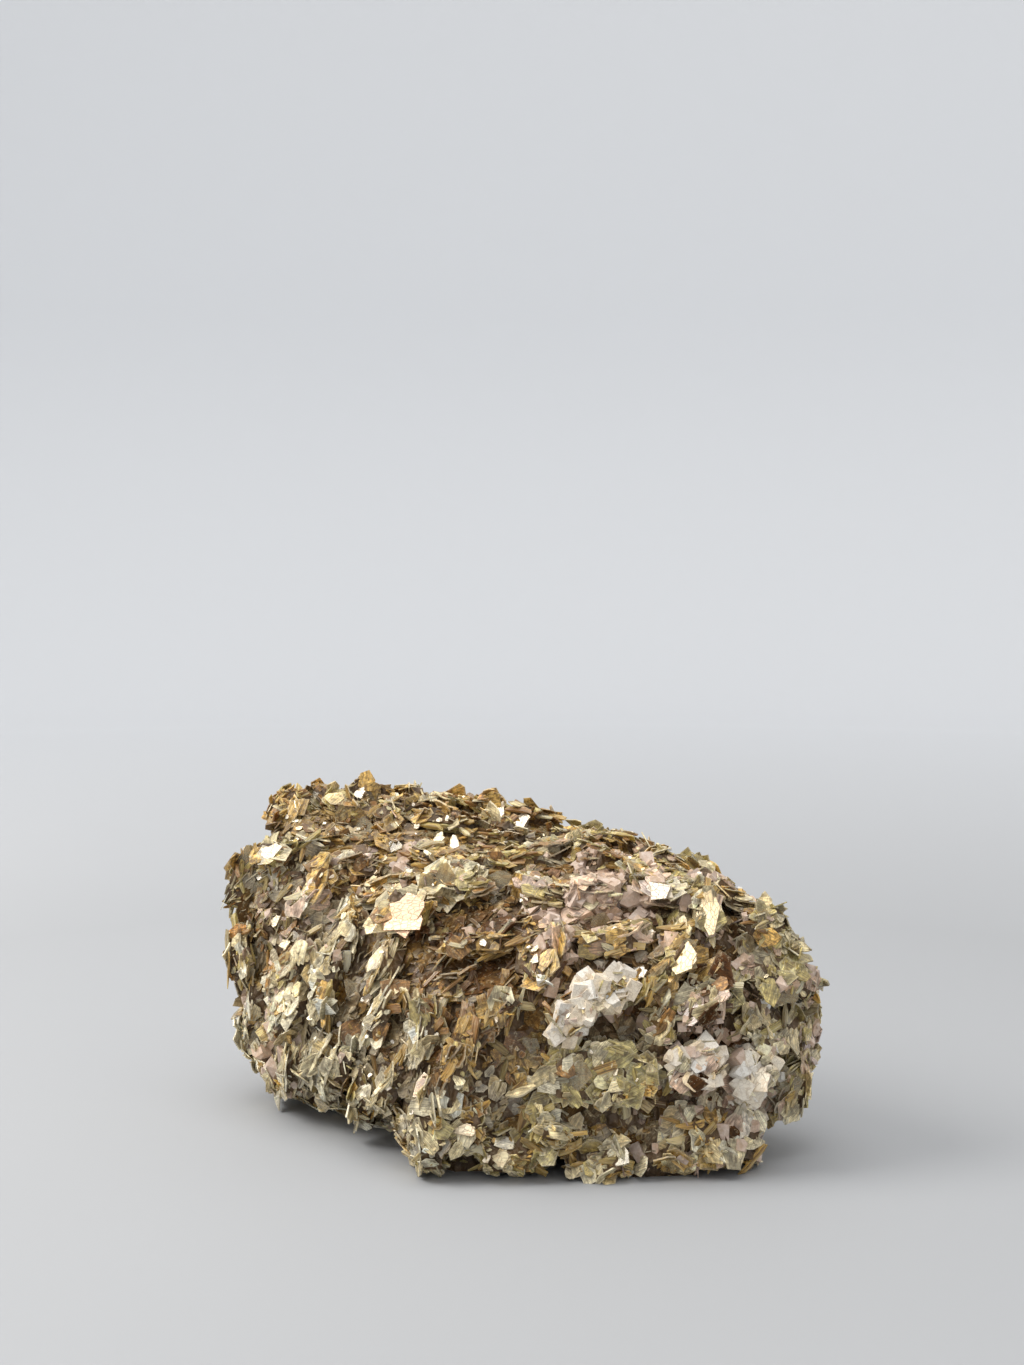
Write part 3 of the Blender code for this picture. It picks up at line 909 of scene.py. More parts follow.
def join_copies(name, shapes, leaves, material, seed, ragged=0.07):
    """One mesh holding a copy of a shape for every leaf, each one ragged in its own way."""
    rng = np.random.default_rng(seed)
    turns = axes(leaves)
    at = np.array([leaf.at for leaf in leaves])
    sizes = np.array([leaf.size for leaf in leaves])
    bends = np.array([leaf.bend for leaf in leaves])
    sweeps = np.array([leaf.sweep for leaf in leaves])
    tints = np.array([(*leaf.tint, leaf.shine) for leaf in leaves])
    chosen = rng.integers(len(shapes), size=len(leaves))
    points, faces, colours, grains, rims = [], [], [], [], []
    total = 0
    for number, shape in enumerate(shapes):
        pick = np.flatnonzero(chosen == number)
        count, each = len(pick), len(shape.points)
        local = np.repeat(shape.points[None], count, axis=0)
        angle = np.arctan2(local[..., 1], local[..., 0])
        phase = rng.uniform(0, math.tau, (3, count, 1))
        wave = 0.8 * np.sin(3 * angle + phase[0]) + np.sin(11 * angle + phase[1])
        local[..., :2] *= (1 + ragged * wave * shape.rim)[..., None]
        local *= sizes[pick][:, None]
        lift = local[..., 0] ** 2 * np.cos(phase[2]) + local[..., 1] ** 2 * np.sin(phase[2])
        grains.append((local + rng.uniform(0, 90, (count, 1, 3))).reshape(-1, 3))
        local[..., 2] += bends[pick][:, None] * lift
        local[..., 1] += sweeps[pick][:, None] * local[..., 0] ** 2
        placed = np.einsum("nij,nmj->nmi", turns[pick], local) + at[pick][:, None]
        points.append(placed.reshape(-1, 3))
        starts = total + each * np.arange(count)
        faces.append((shape.triangles[None] + starts[:, None, None]).reshape(-1, 3))
        colours.append(np.repeat(tints[pick], each, axis=0))
        rims.append(np.tile(shape.rim, count))
        total += each * count
    place = np.concatenate(points)
    place[:, 2] = np.maximum(place[:, 2], 0.02)
    return mesh_piece(
        name, place, np.concatenate(faces), material,
        np.concatenate(colours), np.concatenate(grains), np.concatenate(rims),
    )


def mesh_piece(name, points, faces, material, colours, grains, rims):
    """A piece of the scene from arrays of points and triangles, with what its finish reads."""
    mesh = bpy.data.meshes.new(name)
    mesh.vertices.add(len(points))
    mesh.vertices.foreach_set("co", (points * MM).astype(np.float32).ravel())
    mesh.loops.add(faces.size)
    mesh.loops.foreach_set("vertex_index", faces.astype(np.int32).ravel())
    mesh.polygons.add(len(faces))
    mesh.polygons.foreach_set("loop_start", np.arange(0, faces.size, 3, dtype=np.int32))
    mesh.update(calc_edges=True)
    mesh.validate()
    mesh.shade_flat()
    tint = mesh.attributes.new("tint", "FLOAT_COLOR", "POINT")
    tint.data.foreach_set("color", colours.astype(np.float32).ravel())
    grain = mesh.attributes.new("grain", "FLOAT_VECTOR", "POINT")
    grain.data.foreach_set("vector", grains.astype(np.float32).ravel())
    rim = mesh.attributes.new("rim", "FLOAT", "POINT")
    rim.data.foreach_set("value", rims.astype(np.float32))
    piece = bpy.data.objects.new(name, mesh)
    bpy.context.scene.collection.objects.link(piece)
    mesh.materials.append(material)
    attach(piece, "root")
    return piece


# ---------------------------------------------------------------- materials


class Term:
    """A shader socket that can be used in Python arithmetic."""

    def __init__(self, shader, socket):
        self.shader = shader
        self.socket = socket

    def _math(self, operation, first, second):
        return self.shader.node("ShaderNodeMath", {"operation": operation}, {0: first, 1: second})

    def __add__(self, other):
        return self._math("ADD", self, other)

    def __sub__(self, other):
        return self._math("SUBTRACT", self, other)

    def __mul__(self, other):
        return self._math("MULTIPLY", self, other)

    def __pow__(self, other):
        return self._math("POWER", self, other)


class Shader:
    """A material and the nodes that make it."""

    def __init__(self, name, **values):
        self.material = bpy.data.materials.new(name)
        self.material.use_nodes = True
        self.tree = self.material.node_tree
        self.surface = self.tree.nodes["Principled BSDF"]
        for socket, value in values.items():
            self.surface.inputs[socket.replace("_", " ")].default_value = value

    def node(self, kind, settings=None, inputs=None, output=0):
        """A node with its settings made first, then its sockets' values and links."""
        made = self.tree.nodes.new(kind)
        for setting, value in (settings or {}).items():
            setattr(made, setting, value)
        for socket, value in (inputs or {}).items():
            self.feed(made.inputs[socket], value)
        return Term(self, made.outputs[output])

    def feed(self, socket, value):
        if isinstance(value, Term):
            self.tree.links.new(value.socket, socket)
        else:
            socket.default_value = value

    def shows(self, **inputs):
        """Feeds the surface's own sockets."""
        for socket, value in inputs.items():
            self.feed(self.surface.inputs[socket.replace("_", " ")], value)

    def place(self):
        """The place on the piece, in its own coordinates."""
        return self.node("ShaderNodeTexCoord", output="Object")

    def read(self, attribute, output="Fac"):
        return self.node("ShaderNodeAttribute", {"attribute_name": attribute}, output=output)

    def noise(self, vector, scale, detail=3.0, roughness=0.55, stretch=(1, 1, 1)):
        """Noise between 0 and 1 whose spots are about 1 / scale across."""
        moved = self.node("ShaderNodeMapping", None, {"Vector": vector, "Scale": stretch})
        values = {"Vector": moved, "Scale": scale, "Detail": detail, "Roughness": roughness}
        return self.node("ShaderNodeTexNoise", None, values)

    def cells(self, vector, scale, stretch=(1, 1, 1)):
        """The distance to the nearest crack between cells about 1 / scale across."""
        moved = self.node("ShaderNodeMapping", None, {"Vector": vector, "Scale": stretch})
        values = {"Vector": moved, "Scale": scale, "Randomness": 1.0}
        return self.node("ShaderNodeTexVoronoi", {"feature": "DISTANCE_TO_EDGE"}, values)

    def ramp(self, value, *stops):
        """The value through straight lines between stops, each a place and a level."""
        low, high = stops
        values = {"Value": value, 1: low[0], 2: high[0], 3: low[1], 4: high[1]}
        return self.node("ShaderNodeMapRange", {"clamp": True}, values)

    def mix(self, share, first, second, blend="MIX"):
        settings = {"data_type": "RGBA", "blend_type": blend}
        inputs = {0: share, 6: first, 7: second}
        return self.node("ShaderNodeMix", settings, inputs, output=2)

    def bump(self, height, depth):
        values = {"Height": height, "Distance": depth * MM, "Strength": 1.0}
        return self.node("ShaderNodeBump", None, values)


# how far light spreads inside a leaf
GLOW = 1.6
# light values of the stains, seams, cracks and rims of each finish
DARK_STAIN = (0.1, 0.05, 0.016, 1)
PALE_STAIN = (0.78, 0.66, 0.42, 1)
# the colour of the broken rims: partly their own paleness, partly a painted highlight
PALE_RIM_AND_HIGHLIGHT = (0.8, 0.72, 0.52, 1)
SHEAF_SEAM = (0.065, 0.03, 0.01, 1)
SHEAF_LINE = (0.7, 0.6, 0.4, 1)
SHEAF_SHADE = (0.12, 0.06, 0.02, 1)
GROUND_FLAKE = (0.34, 0.27, 0.17, 1)
CLEAR_CLOUD = (0.5, 0.34, 0.14, 1)
BRIGHT_CRACK = (0.42, 0.33, 0.22, 1)
BRIGHT_STREAK = (0.75, 0.68, 0.55, 1)
BRIGHT_STAIN = (0.62, 0.45, 0.26, 1)
BRIGHT_RIM = (0.45, 0.33, 0.2, 1)
GRAIN_CLOUD = (0.88, 0.84, 0.78, 1)
GRAIN_CRACK = (0.3, 0.22, 0.16, 1)
GRAIN_STAIN = (0.36, 0.25, 0.14, 1)


class LeafLook(NamedTuple):
    """How a finish of leaves takes the light: through is how much of it spreads inside, metal
    and coat are for the leaves that shine most, and gleam is for all of them."""

    through: float
    rim_light: float
    # rim_light: how much paler the broken rims are, partly their own colour and partly a painted
    # highlight
    streak: float
    roughness: float
    metal: float
    coat: float
    stained: float
    gleam: float


LOOKS = {
    "dark": LeafLook(0.3, 0.1, 0.5, 0.6, 0.0, 0.0, 0.6, 0.12),
    "golden": LeafLook(0.2, 0.4, 0.5, 0.34, 0.2, 0.5, 0.7, 0.4),
    "silver": LeafLook(0.2, 0.4, 0.4, 0.3, 0.12, 0.8, 0.5, 0.5),
    "pale": LeafLook(0.25, 0.4, 0.32, 0.36, 0.08, 0.7, 0.42, 0.45),
}


def leaf_finish(name, look):
    """Mica in leaves: its own colour, streaked along the grain, lighter at its broken rims, partly their
    own paleness and partly a painted highlight.
    """
    shader = Shader(
        name, Coat_Roughness=0.06, IOR=1.56, Subsurface_Weight=look.through,
        Subsurface_Radius=(1.0, 1.0, 1.0), Subsurface_Scale=0.2 * GLOW * MM,
        Specular_IOR_Level=look.gleam,
    )
    tint = shader.read("tint", "Color")
    shine = shader.read("tint", "Alpha")
    grain = shader.read("grain", "Vector")
    rim = shader.read("rim")
    streaks = shader.noise(grain, 1.0, 4.0, 0.7, (0.45, 2.8, 4.0))
    cloud = shader.noise(grain, 0.45, 2.0)
    fine = shader.noise(grain, 5.0, 3.0, 0.6, (1, 1, 8))
    lines = shader.noise(grain, 1.0, 3.0, 0.6, (0.25, 6.5, 6.5))
    place = shader.place()
    region = shader.noise(place, 420.0, 3.0)
    shade = shader.ramp(streaks, (0.36, 1 - look.streak), (0.66, 1 + look.streak))
    shade = shade * shader.ramp(cloud, (0.32, 0.6), (0.68, 1.4))
    shade = shade * shader.ramp(region, (0.36, 0.62), (0.64, 1.3))
    shade = shade * shader.ramp(lines, (0.38, 0.6), (0.6, 1.16))
    grey = shader.node("ShaderNodeCombineColor", None, {0: shade, 1: shade, 2: shade})
    body = shader.mix(1.0, tint, grey, "MULTIPLY")
    stain = shader.noise(place, 1300.0, 4.0, 0.72)
    body = shader.mix(shader.ramp(stain, (0.5, 0.0), (0.58, look.stained)), body, DARK_STAIN)
    body = shader.mix(shader.ramp(stain, (0.36, look.stained * 0.5), (0.44, 0.0)), body, PALE_STAIN)
    # the broken rims are paler: partly their own colour, partly a painted highlight
    edge = rim**10 * look.rim_light * shader.ramp(fine, (0.35, 0.5), (0.65, 1.3))
    body = shader.mix(edge, body, PALE_RIM_AND_HIGHLIGHT)
    height = streaks * 1.2 + fine * 0.25 + lines * 0.3
    matt = look.roughness
    shader.shows(
        Base_Color=body,
        Roughness=shader.ramp(cloud, (0.3, matt - 0.02), (0.7, matt + 0.2)) - shine * 0.2,
        Metallic=shine * look.metal,
        Coat_Weight=shine * look.coat,
        Normal=shader.bump(height, 0.06),
    )
    return shader.material


def sheaf_finish():
    """Books seen on their edges: fine lines of gold, cream and dark brown along the sheaf."""
    shader = Shader(
        "edge-on mica", Coat_Roughness=0.08, IOR=1.56, Subsurface_Weight=0.4,
        Subsurface_Radius=(1.0, 0.78, 0.42), Subsurface_Scale=GLOW * MM,
    )
    tint = shader.read("tint", "Color")
    shine = shader.read("tint", "Alpha")
    grain = shader.read("grain", "Vector")
    lines = shader.noise(grain, 1.0, 4.0, 0.65, (0.12, 3.6, 3.6))
    broad = shader.noise(grain, 0.8, 2.0, 0.5, (0.4, 1.0, 1.0))
    body = shader.mix(shader.ramp(lines, (0.36, 0.85), (0.5, 0.0)), tint, SHEAF_SEAM)
    body = shader.mix(shader.ramp(lines, (0.54, 0.0), (0.7, 0.7)), body, SHEAF_LINE)
    body = shader.mix(shader.ramp(broad, (0.3, 0.35), (0.6, 0.0)), body, SHEAF_SHADE)
    shader.shows(
        Base_Color=body,
        Roughness=shader.ramp(lines, (0.3, 0.3), (0.7, 0.5)),
        Coat_Weight=shine * 0.3,
        Normal=shader.bump(lines, 0.22),
    )
    return shader.material


def ground_finish(colour_of_ground):
    """The dense dark mica behind the leaves, read from the piece's own place."""
    shader = Shader("mica ground", IOR=1.56)
    place = shader.place()
    coarse = shader.noise(place, 260.0, 4.0)
    fine = shader.noise(place, 1500.0, 3.0)
    flakes = shader.cells(place, 520.0, (1, 1.4, 0.7))
    dark = (*[part * 0.35 for part in colour_of_ground], 1)
    body = shader.mix(shader.ramp(coarse, (0.35, 0), (0.65, 1)), dark, (*colour_of_ground, 1))
    body = shader.mix(shader.ramp(fine, (0.55, 0), (0.75, 0.5)), body, GROUND_FLAKE)
    height = coarse * 1.2 + fine * 0.3 + shader.ramp(flakes, (0, 0), (0.25, 0.6))
    shader.shows(
        Base_Color=body,
        Roughness=shader.ramp(fine, (0.3, 0.45), (0.7, 0.75)),
        Normal=shader.bump(height, 0.5),
    )
    return shader.material


def clear_finish():
    """Clear mica: light goes through it, a little green and brown on the way."""
    shader = Shader("clear mica", Transmission_Weight=0.8, IOR=1.58, Roughness=0.2)
    grain = shader.read("grain", "Vector")
    fine = shader.noise(grain, 2.2, 4.0, 0.6, (1, 1, 4))
    cracks = shader.cells(grain, 0.7)
    cloud = shader.noise(grain, 0.8, 3.0, 0.6, (0.5, 2.0, 2.0))
    tint = shader.read("tint", "Color")
    shader.shows(
        Base_Color=shader.mix(shader.ramp(cloud, (0.38, 0.75), (0.6, 0.0)), tint, CLEAR_CLOUD),
        Normal=shader.bump(fine * 0.2 + shader.ramp(cracks, (0, 0), (0.08, 0.6)), 0.002),
    )
    return shader.material


def mirror_finish():
    """Leaves that lie square to the light and shine nearly white."""
    shader = Shader("bright mica", Metallic=0.35, IOR=1.6, Coat_Weight=0.35, Coat_Roughness=0.18)
    tint = shader.read("tint", "Color")
    grain = shader.read("grain", "Vector")
    rim = shader.read("rim")
    streaks = shader.noise(grain, 1.4, 4.0, 0.6, (0.6, 3.0, 3.0))
    cracks = shader.cells(grain, 0.8, (1, 1.6, 1))
    line = shader.ramp(cracks, (0.0, 0.8), (0.06, 0.0))
    stain = shader.noise(shader.place(), 900.0, 4.0, 0.7)
    body = shader.mix(line, tint, BRIGHT_CRACK)
    body = shader.mix(shader.ramp(streaks, (0.5, 0.0), (0.75, 0.3)), body, BRIGHT_STREAK)
    body = shader.mix(shader.ramp(stain, (0.5, 0.0), (0.62, 0.6)), body, BRIGHT_STAIN)
    body = shader.mix(rim**6 * 0.5, body, BRIGHT_RIM)
    shader.shows(
        Base_Color=body,
        Roughness=shader.ramp(streaks, (0.3, 0.28), (0.7, 0.5)),
        Normal=shader.bump(streaks * 0.8 + shader.ramp(cracks, (0, 0), (0.06, 0.5)), 0.08),
    )
    return shader.material


def grain_finish():
    """Sugary pink and white grains among the mica."""
    shader = Shader("pink and white grains", IOR=1.54, Roughness=0.4)
    tint = shader.read("tint", "Color")
    grain = shader.read("grain", "Vector")
    cloud = shader.noise(grain, 0.9, 3.0)
    fine = shader.noise(grain, 6.0, 3.0)
    cracks = shader.cells(grain, 1.5)
    stain = shader.noise(shader.place(), 700.0, 4.0, 0.7)
    body = shader.mix(shader.ramp(cloud, (0.35, 0.0), (0.7, 0.35)), tint, GRAIN_CLOUD)
    body = shader.mix(shader.ramp(cracks, (0.0, 0.45), (0.05, 0.0)), body, GRAIN_CRACK)
    body = shader.mix(shader.ramp(stain, (0.5, 0.0), (0.62, 0.42)), body, GRAIN_STAIN)
    shader.shows(
        Base_Color=body,
        Roughness=shader.ramp(fine, (0.3, 0.3), (0.7, 0.6)),
        Normal=shader.bump(cloud * 0.6 + fine * 0.3, 0.12),
    )
    return shader.material


class Finishes:
    """The finishes, each made when it is first asked for."""

    def __init__(self):
        self.made = {}

    def leaf(self, finish):
        if finish not in self.made:
            self.made[finish] = leaf_finish(f"{finish} mica", LOOKS[finish])
        return self.made[finish]


SHAPE_SEED = 7


class Workshop:
    """What the operators share: the model's surface, its books, the shapes and the finishes."""

    def __init__(self):
        # unseeded, noise_vector gives other vectors in every run
        noise.seed_set(SEED)
        self.surface = Surface(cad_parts[NODE])
        self.books = model_books()
        rng = Random(SHAPE_SEED)
        self.sheets = [leaf_shape(rng, 13, rng.choice((2, 3, 4))) for _ in range(14)]
        self.chips = [leaf_shape(rng, 6, rng.choice((1, 2)), domed=False) for _ in range(6)]
        self.sheaves = [sheaf_shape(rng) for _ in range(6)]
        self.blocks = [block_shape(rng, rng.choice((2, 3, 4))) for _ in range(7)]
        self.finishes = Finishes()


_shop = []


def workshop():
    """The shared workshop, set up the first time it is asked for."""
    if not _shop:
        _shop.append(Workshop())
    return _shop[0]


def add_leaves(stem, shapes, grown, seed, ragged=0.07):
    """The leaves as one piece for each finish among them. grown holds pairs of kind and leaf."""
    shop = workshop()
    for finish in LOOKS:
        leaves = [leaf for kind, leaf in grown if FINISH_OF[kind] == finish]
        if leaves:
            join_copies(f"{stem}_{finish}", shapes, leaves, shop.finishes.leaf(finish), seed, ragged)


def nudged(rng, way, degrees):
    """A direction turned by a random few degrees."""
    spread = math.tan(math.radians(degrees))
    push = Vector((rng.gauss(0, spread), rng.gauss(0, spread), rng.gauss(0, spread)))
    return (way + push).normalized()


def swayed(rng, way, at, degrees):
    """A direction turned as its neighbours are, so that leaves lie nearly parallel."""
    lean = noise.noise_vector(at / BOOK_SPREAD) * math.tan(math.radians(degrees)) * 2.6
    return nudged(rng, way + lean, degrees * 0.3)


def seated(spot, facing, along, size, reach):
    """Where the middle of a leaf goes so that its highest tip is at a given reach."""
    turn = turn_to(facing, along)
    way = spot.out @ turn
    tip = math.hypot(way.x * size[0], way.y * size[1]) / 2 + abs(way.z) * size[2] / 2
    return spot.at + spot.out * (reach - tip)


def place_in(book, reach, angle, level):
    """A place in a book: how far out from its middle, which way, and how high in it."""
    local = Vector((
        book.length * reach * math.cos(angle),
        book.width * reach * math.sin(angle),
        book.thickness * level,
    ))
    return book.at + turn_to(book.facing, book.along) @ local


def grown_leaf(rng, kind, spot, spread, *form):
    """A leaf with its kind, given painted shade the deeper it lies: form is its place, axes, size and
    bend.
    """
    tint = tinted(rng, kind, spread, spot.depth)
    return painted_shade_kind(kind, spot.depth), Leaf(*form, tint, rng.random())


class Seeds(NamedTuple):
    """The seeds of an operator's own draws, of its places and of its joined copies."""

    draws: int
    places: int
    copies: int


# ---------------------------------------------------------------- operators


class MICA_OT_ground(bpy.types.Operator):
    """Give the model's own solid the finish of the dense mica behind the leaves"""

    bl_idname = "mica.ground"
    bl_label = "Ground"

    def execute(self, context):
        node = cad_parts[NODE]
        finish = ground_finish(tuple(context.scene.mica_colours.ground))
        if node.material_slots:
            node.material_slots[0].material = finish
        else:
            node.data.materials.append(finish)
        return {"FINISHED"}


class MICA_OT_books(bpy.types.Operator):
    """Split the model's books, but for the blocky ones, into leaves, and line the surface with flat
    leaves
    """

    bl_idname = "mica.books"
    bl_label = "Books"

    SEEDS = Seeds(draws=101, places=12, copies=11)
    LINING_COPIES = 13

    def execute(self, context):
        shop = workshop()
        rng = Random(self.SEEDS.draws)
        leaf = context.scene.mica_sizes.leaf / MM
        grown = []
        for book in shop.books:
            kind, habit_of = NAMED.get(book.name, (kind_at(rng, book.at), "broken"))
            if habit_of == "blocks":
                continue
            grow = self.plate if habit_of == "whole" else self.book
            grown.extend((kind, made) for made in grow(rng, book, kind, leaf))
        add_leaves("books", shop.sheets, grown, self.SEEDS.copies, ragged=0.16)
        grown = []
        lining = context.scene.mica_sizes.lining
        for spot in shop.surface.spots(lining, self.SEEDS.places, lowest=0.3):
            kind = kind_at(rng, spot.at)
            long = rng.uniform(3.0, 5.5)
            size = (long, long * rng.uniform(0.6, 0.95), leaf * 0.5)
            facing = nudged(rng, spot.facet, 6)
            along = swayed(rng, spot.facet.orthogonal(), spot.at, 50)
            # the lining counts as lying 0.4 mm deeper, for more painted shade
            tint = tinted(rng, kind, 0.14, spot.depth + 0.4)
            at = spot.at + spot.facet * rng.uniform(0.0, 0.2)
            leaf_made = Leaf(at, facing, along, size, 0.0, tint, rng.random())
            grown.append((painted_shade_kind(kind, spot.depth), leaf_made))
        add_leaves("lining", shop.chips, grown, self.LINING_COPIES, ragged=0.14)
        return {"FINISHED"}

    def plate(self, rng, book, kind, leaf):
        """Broad leaves that overlap and leave the plate's edge ragged."""
        for i in range(round(book.length * book.width * 0.3)):
            reach, angle = 0.42 * math.sqrt(rng.random()), rng.uniform(0, math.tau)
            level = 0.5 - 0.08 * rng.random() if i % 4 else rng.uniform(-0.5, 0.5)
            at = place_in(book, reach, angle, level)
            long = rng.uniform(3.2, 6.0)
            size = (long, long * rng.uniform(0.6, 0.95), leaf * rng.uniform(0.3, 0.6))
            facing = nudged(rng, book.facing, 2.5)
            along = nudged(rng, book.along, 40)
            tint = tinted(rng, kind, 0.06)
            yield Leaf(at, facing, along, size, 0.0, tint, 0.5 * rng.random())

    def book(self, rng, book, kind, leaf):
        """Broken leaves that together fill the book, most of them on its face."""
        for _ in range(round(book.length * book.width * 0.13)):
            reach, angle = 0.46 * math.sqrt(rng.random()), rng.uniform(0, math.tau)
            level = rng.choice((0.5, 0.44, rng.uniform(-0.5, 0.5)))
            at = place_in(book, reach, angle, level)
            long = rng.uniform(2.6, 5.6)
            size = (long, long * rng.uniform(0.6, 0.95), leaf * rng.uniform(0.4, 0.8))
            facing = nudged(rng, book.facing, 11)
            along = nudged(rng, book.along, 50)
            bend = rng.gauss(0, 0.02)
            yield Leaf(at, facing, along, size, bend, tinted(rng, kind), rng.random())


class MICA_OT_fans(bpy.types.Operator):
    """Grow fans of leaves over the mass, turned as the books around them are"""

    bl_idname = "mica.fans"
    bl_label = "Fans"

    SEEDS = Seeds(draws=202, places=21, copies=22)

    def execute(self, context):
        shop = workshop()
        sizes = context.scene.mica_sizes
        rng = Random(self.SEEDS.draws)
        grown = []
        for spot in shop.surface.spots(sizes.fans, self.SEEDS.places):
            kind = kind_at(rng, spot.at)
            facing, edge = habit(rng, zone_at(spot.at - TABLE_ORIGIN), spot.out)
            facing = swayed(rng, facing, spot.at, 20)
            if spot.depth > OPEN and rng.random() < FANS_LEFT_OUT:
                continue
            if FINISH_OF[kind] == "pale" and rng.random() < 0.5:
                continue
            blades = zone_at(spot.at - TABLE_ORIGIN).sides == UPRIGHT
            run = facing.cross(edge) if blades and rng.random() < 0.5 else edge
            broad = rng.uniform(0.3, 0.6) if blades else rng.uniform(0.6, 0.95)
            count = rng.randint(3, 7)
            step = math.radians(rng.uniform(3, 10))
            gap = rng.uniform(0.24, 0.42)
            mean = sizes.fan_leaf / MM * math.exp(rng.gauss(0, 0.22)) * (1.25 if blades else 1.0)
            for i in range(count):
                place = i - (count - 1) / 2
                face = nudged(rng, Matrix.Rotation(place * step, 3, edge) @ facing, 5)
                long = mean * rng.uniform(0.6, 1.1)
                size = (long, long * broad * rng.uniform(0.8, 1.1), rng.uniform(0.12, 0.26))
                along = nudged(rng, run, 18)
                at = seated(spot, face, along, size, rng.uniform(-0.5, 0.9))
                at += facing * place * gap
                form = (at, face, along, size, rng.gauss(0, 0.02))
                grown.append(grown_leaf(rng, kind, spot, 0.14, *form))
        add_leaves("fans", shop.sheets, grown, self.SEEDS.copies, ragged=0.13)
        return {"FINISHED"}


class MICA_OT_sheaves(bpy.types.Operator):
    """Lay narrow books on their edges in sweeps, as golden mica grows"""

    bl_idname = "mica.sheaves"
    bl_label = "Sheaves"

    SEEDS = Seeds(draws=808, places=81, copies=88)
    TRIES = 4
    SHARES = {"golden": 1.0, "brown": 1.0, "dark": 1.0, "olive": 0.5, "silver": 0.3}

    def execute(self, context):
        shop = workshop()
        rng = Random(self.SEEDS.draws)
        leaves = []
        wanted = context.scene.mica_sizes.sheaves
        for spot in shop.surface.spots(wanted * self.TRIES, self.SEEDS.places):
            if len(leaves) == wanted:
                break
            kind = kind_at(rng, spot.at)
            if rng.random() > self.SHARES.get(kind, 0.1):
                continue
            _, edge = habit(rng, zone_at(spot.at - TABLE_ORIGIN), spot.out)
            turn = 1.4 * noise.noise(spot.at / 9.0) + rng.gauss(0, 0.25)
            edge = Matrix.Rotation(turn, 3, spot.out) @ edge
            rise = math.radians(rng.uniform(0, 30))
            along = edge * math.cos(rise) + spot.out * math.sin(rise)
            facing = nudged(rng, spot.out, 20)
            long = rng.uniform(3.2, 7.0)
            size = (long, rng.uniform(0.6, 1.6), rng.uniform(0.3, 0.8))
            at = seated(spot, facing, along, size, rng.uniform(0.0, 0.8))
            tint = tinted(rng, kind, 0.16, spot.depth)
            sweep = rng.gauss(0, 0.04)
            bend = rng.gauss(0, 0.02)
            leaves.append(Leaf(at, facing, along, size, bend, tint, rng.random(), sweep))
        join_copies("sheaves", shop.sheaves, leaves, sheaf_finish(), self.SEEDS.copies, ragged=0.06)
        return {"FINISHED"}


class MICA_OT_scales(bpy.types.Operator):
    """Lay single scales over the books and fans"""

    bl_idname = "mica.scales"
    bl_label = "Scales"

    SEEDS = Seeds(draws=303, places=31, copies=33)

    def execute(self, context):
        shop = workshop()
        sizes = context.scene.mica_sizes
        rng = Random(self.SEEDS.draws)
        grown = []
        for spot in shop.surface.spots(sizes.scales, self.SEEDS.places):
            kind = kind_at(rng, spot.at)
            zone = zone_at(spot.at - TABLE_ORIGIN)
            facing, edge = habit(rng, zone, spot.out)
            if spot.depth > OPEN and rng.random() < SCALES_LEFT_OUT:
                continue
            pale = FINISH_OF[kind] == "pale"
            if rng.random() < (0.92 if pale else 0.55):
                facing = spot.out
            facing = swayed(rng, facing, spot.at, 16 if pale else 24)
            long = sizes.scale / MM * math.exp(rng.gauss(0, 0.28)) * (1.3 if pale else 1.0)
            size = (long, long * rng.uniform(0.6, 1.0), rng.uniform(0.1, 0.24))
            along = swayed(rng, edge, spot.at, 30)
            at = seated(spot, facing, along, size, rng.uniform(-0.1, 1.0))
            form = (at, facing, along, size, rng.gauss(0, 0.03))
            grown.append(grown_leaf(rng, kind, spot, 0.2, *form))
        add_leaves("scales", shop.sheets, grown, self.SEEDS.copies, ragged=0.14)
        return {"FINISHED"}


class MICA_OT_chips(bpy.types.Operator):
    """Scatter small chips into the gaps"""

    bl_idname = "mica.chips"
    bl_label = "Chips"

    SEEDS = Seeds(draws=404, places=41, copies=44)

    def execute(self, context):
        shop = workshop()
        sizes = context.scene.mica_sizes
        rng = Random(self.SEEDS.draws)
        grown = []
        for spot in shop.surface.spots(sizes.chips, self.SEEDS.places):
            kind = kind_at(rng, spot.at)
            facing = swayed(rng, spot.facet, spot.at, 34)
            long = sizes.chip / MM * math.exp(rng.gauss(0, 0.3))
            size = (long, long * rng.uniform(0.55, 1.0), rng.uniform(0.08, 0.2))
            at = seated(spot, facing, spot.facet.orthogonal(), size, rng.uniform(0.1, 0.9))
            along = nudged(rng, spot.facet.orthogonal(), 60)
            grown.append(grown_leaf(rng, kind, spot, 0.2, at, facing, along, size, 0.0))
        add_leaves("chips", shop.chips, grown, self.SEEDS.copies, ragged=0.12)
        return {"FINISHED"}


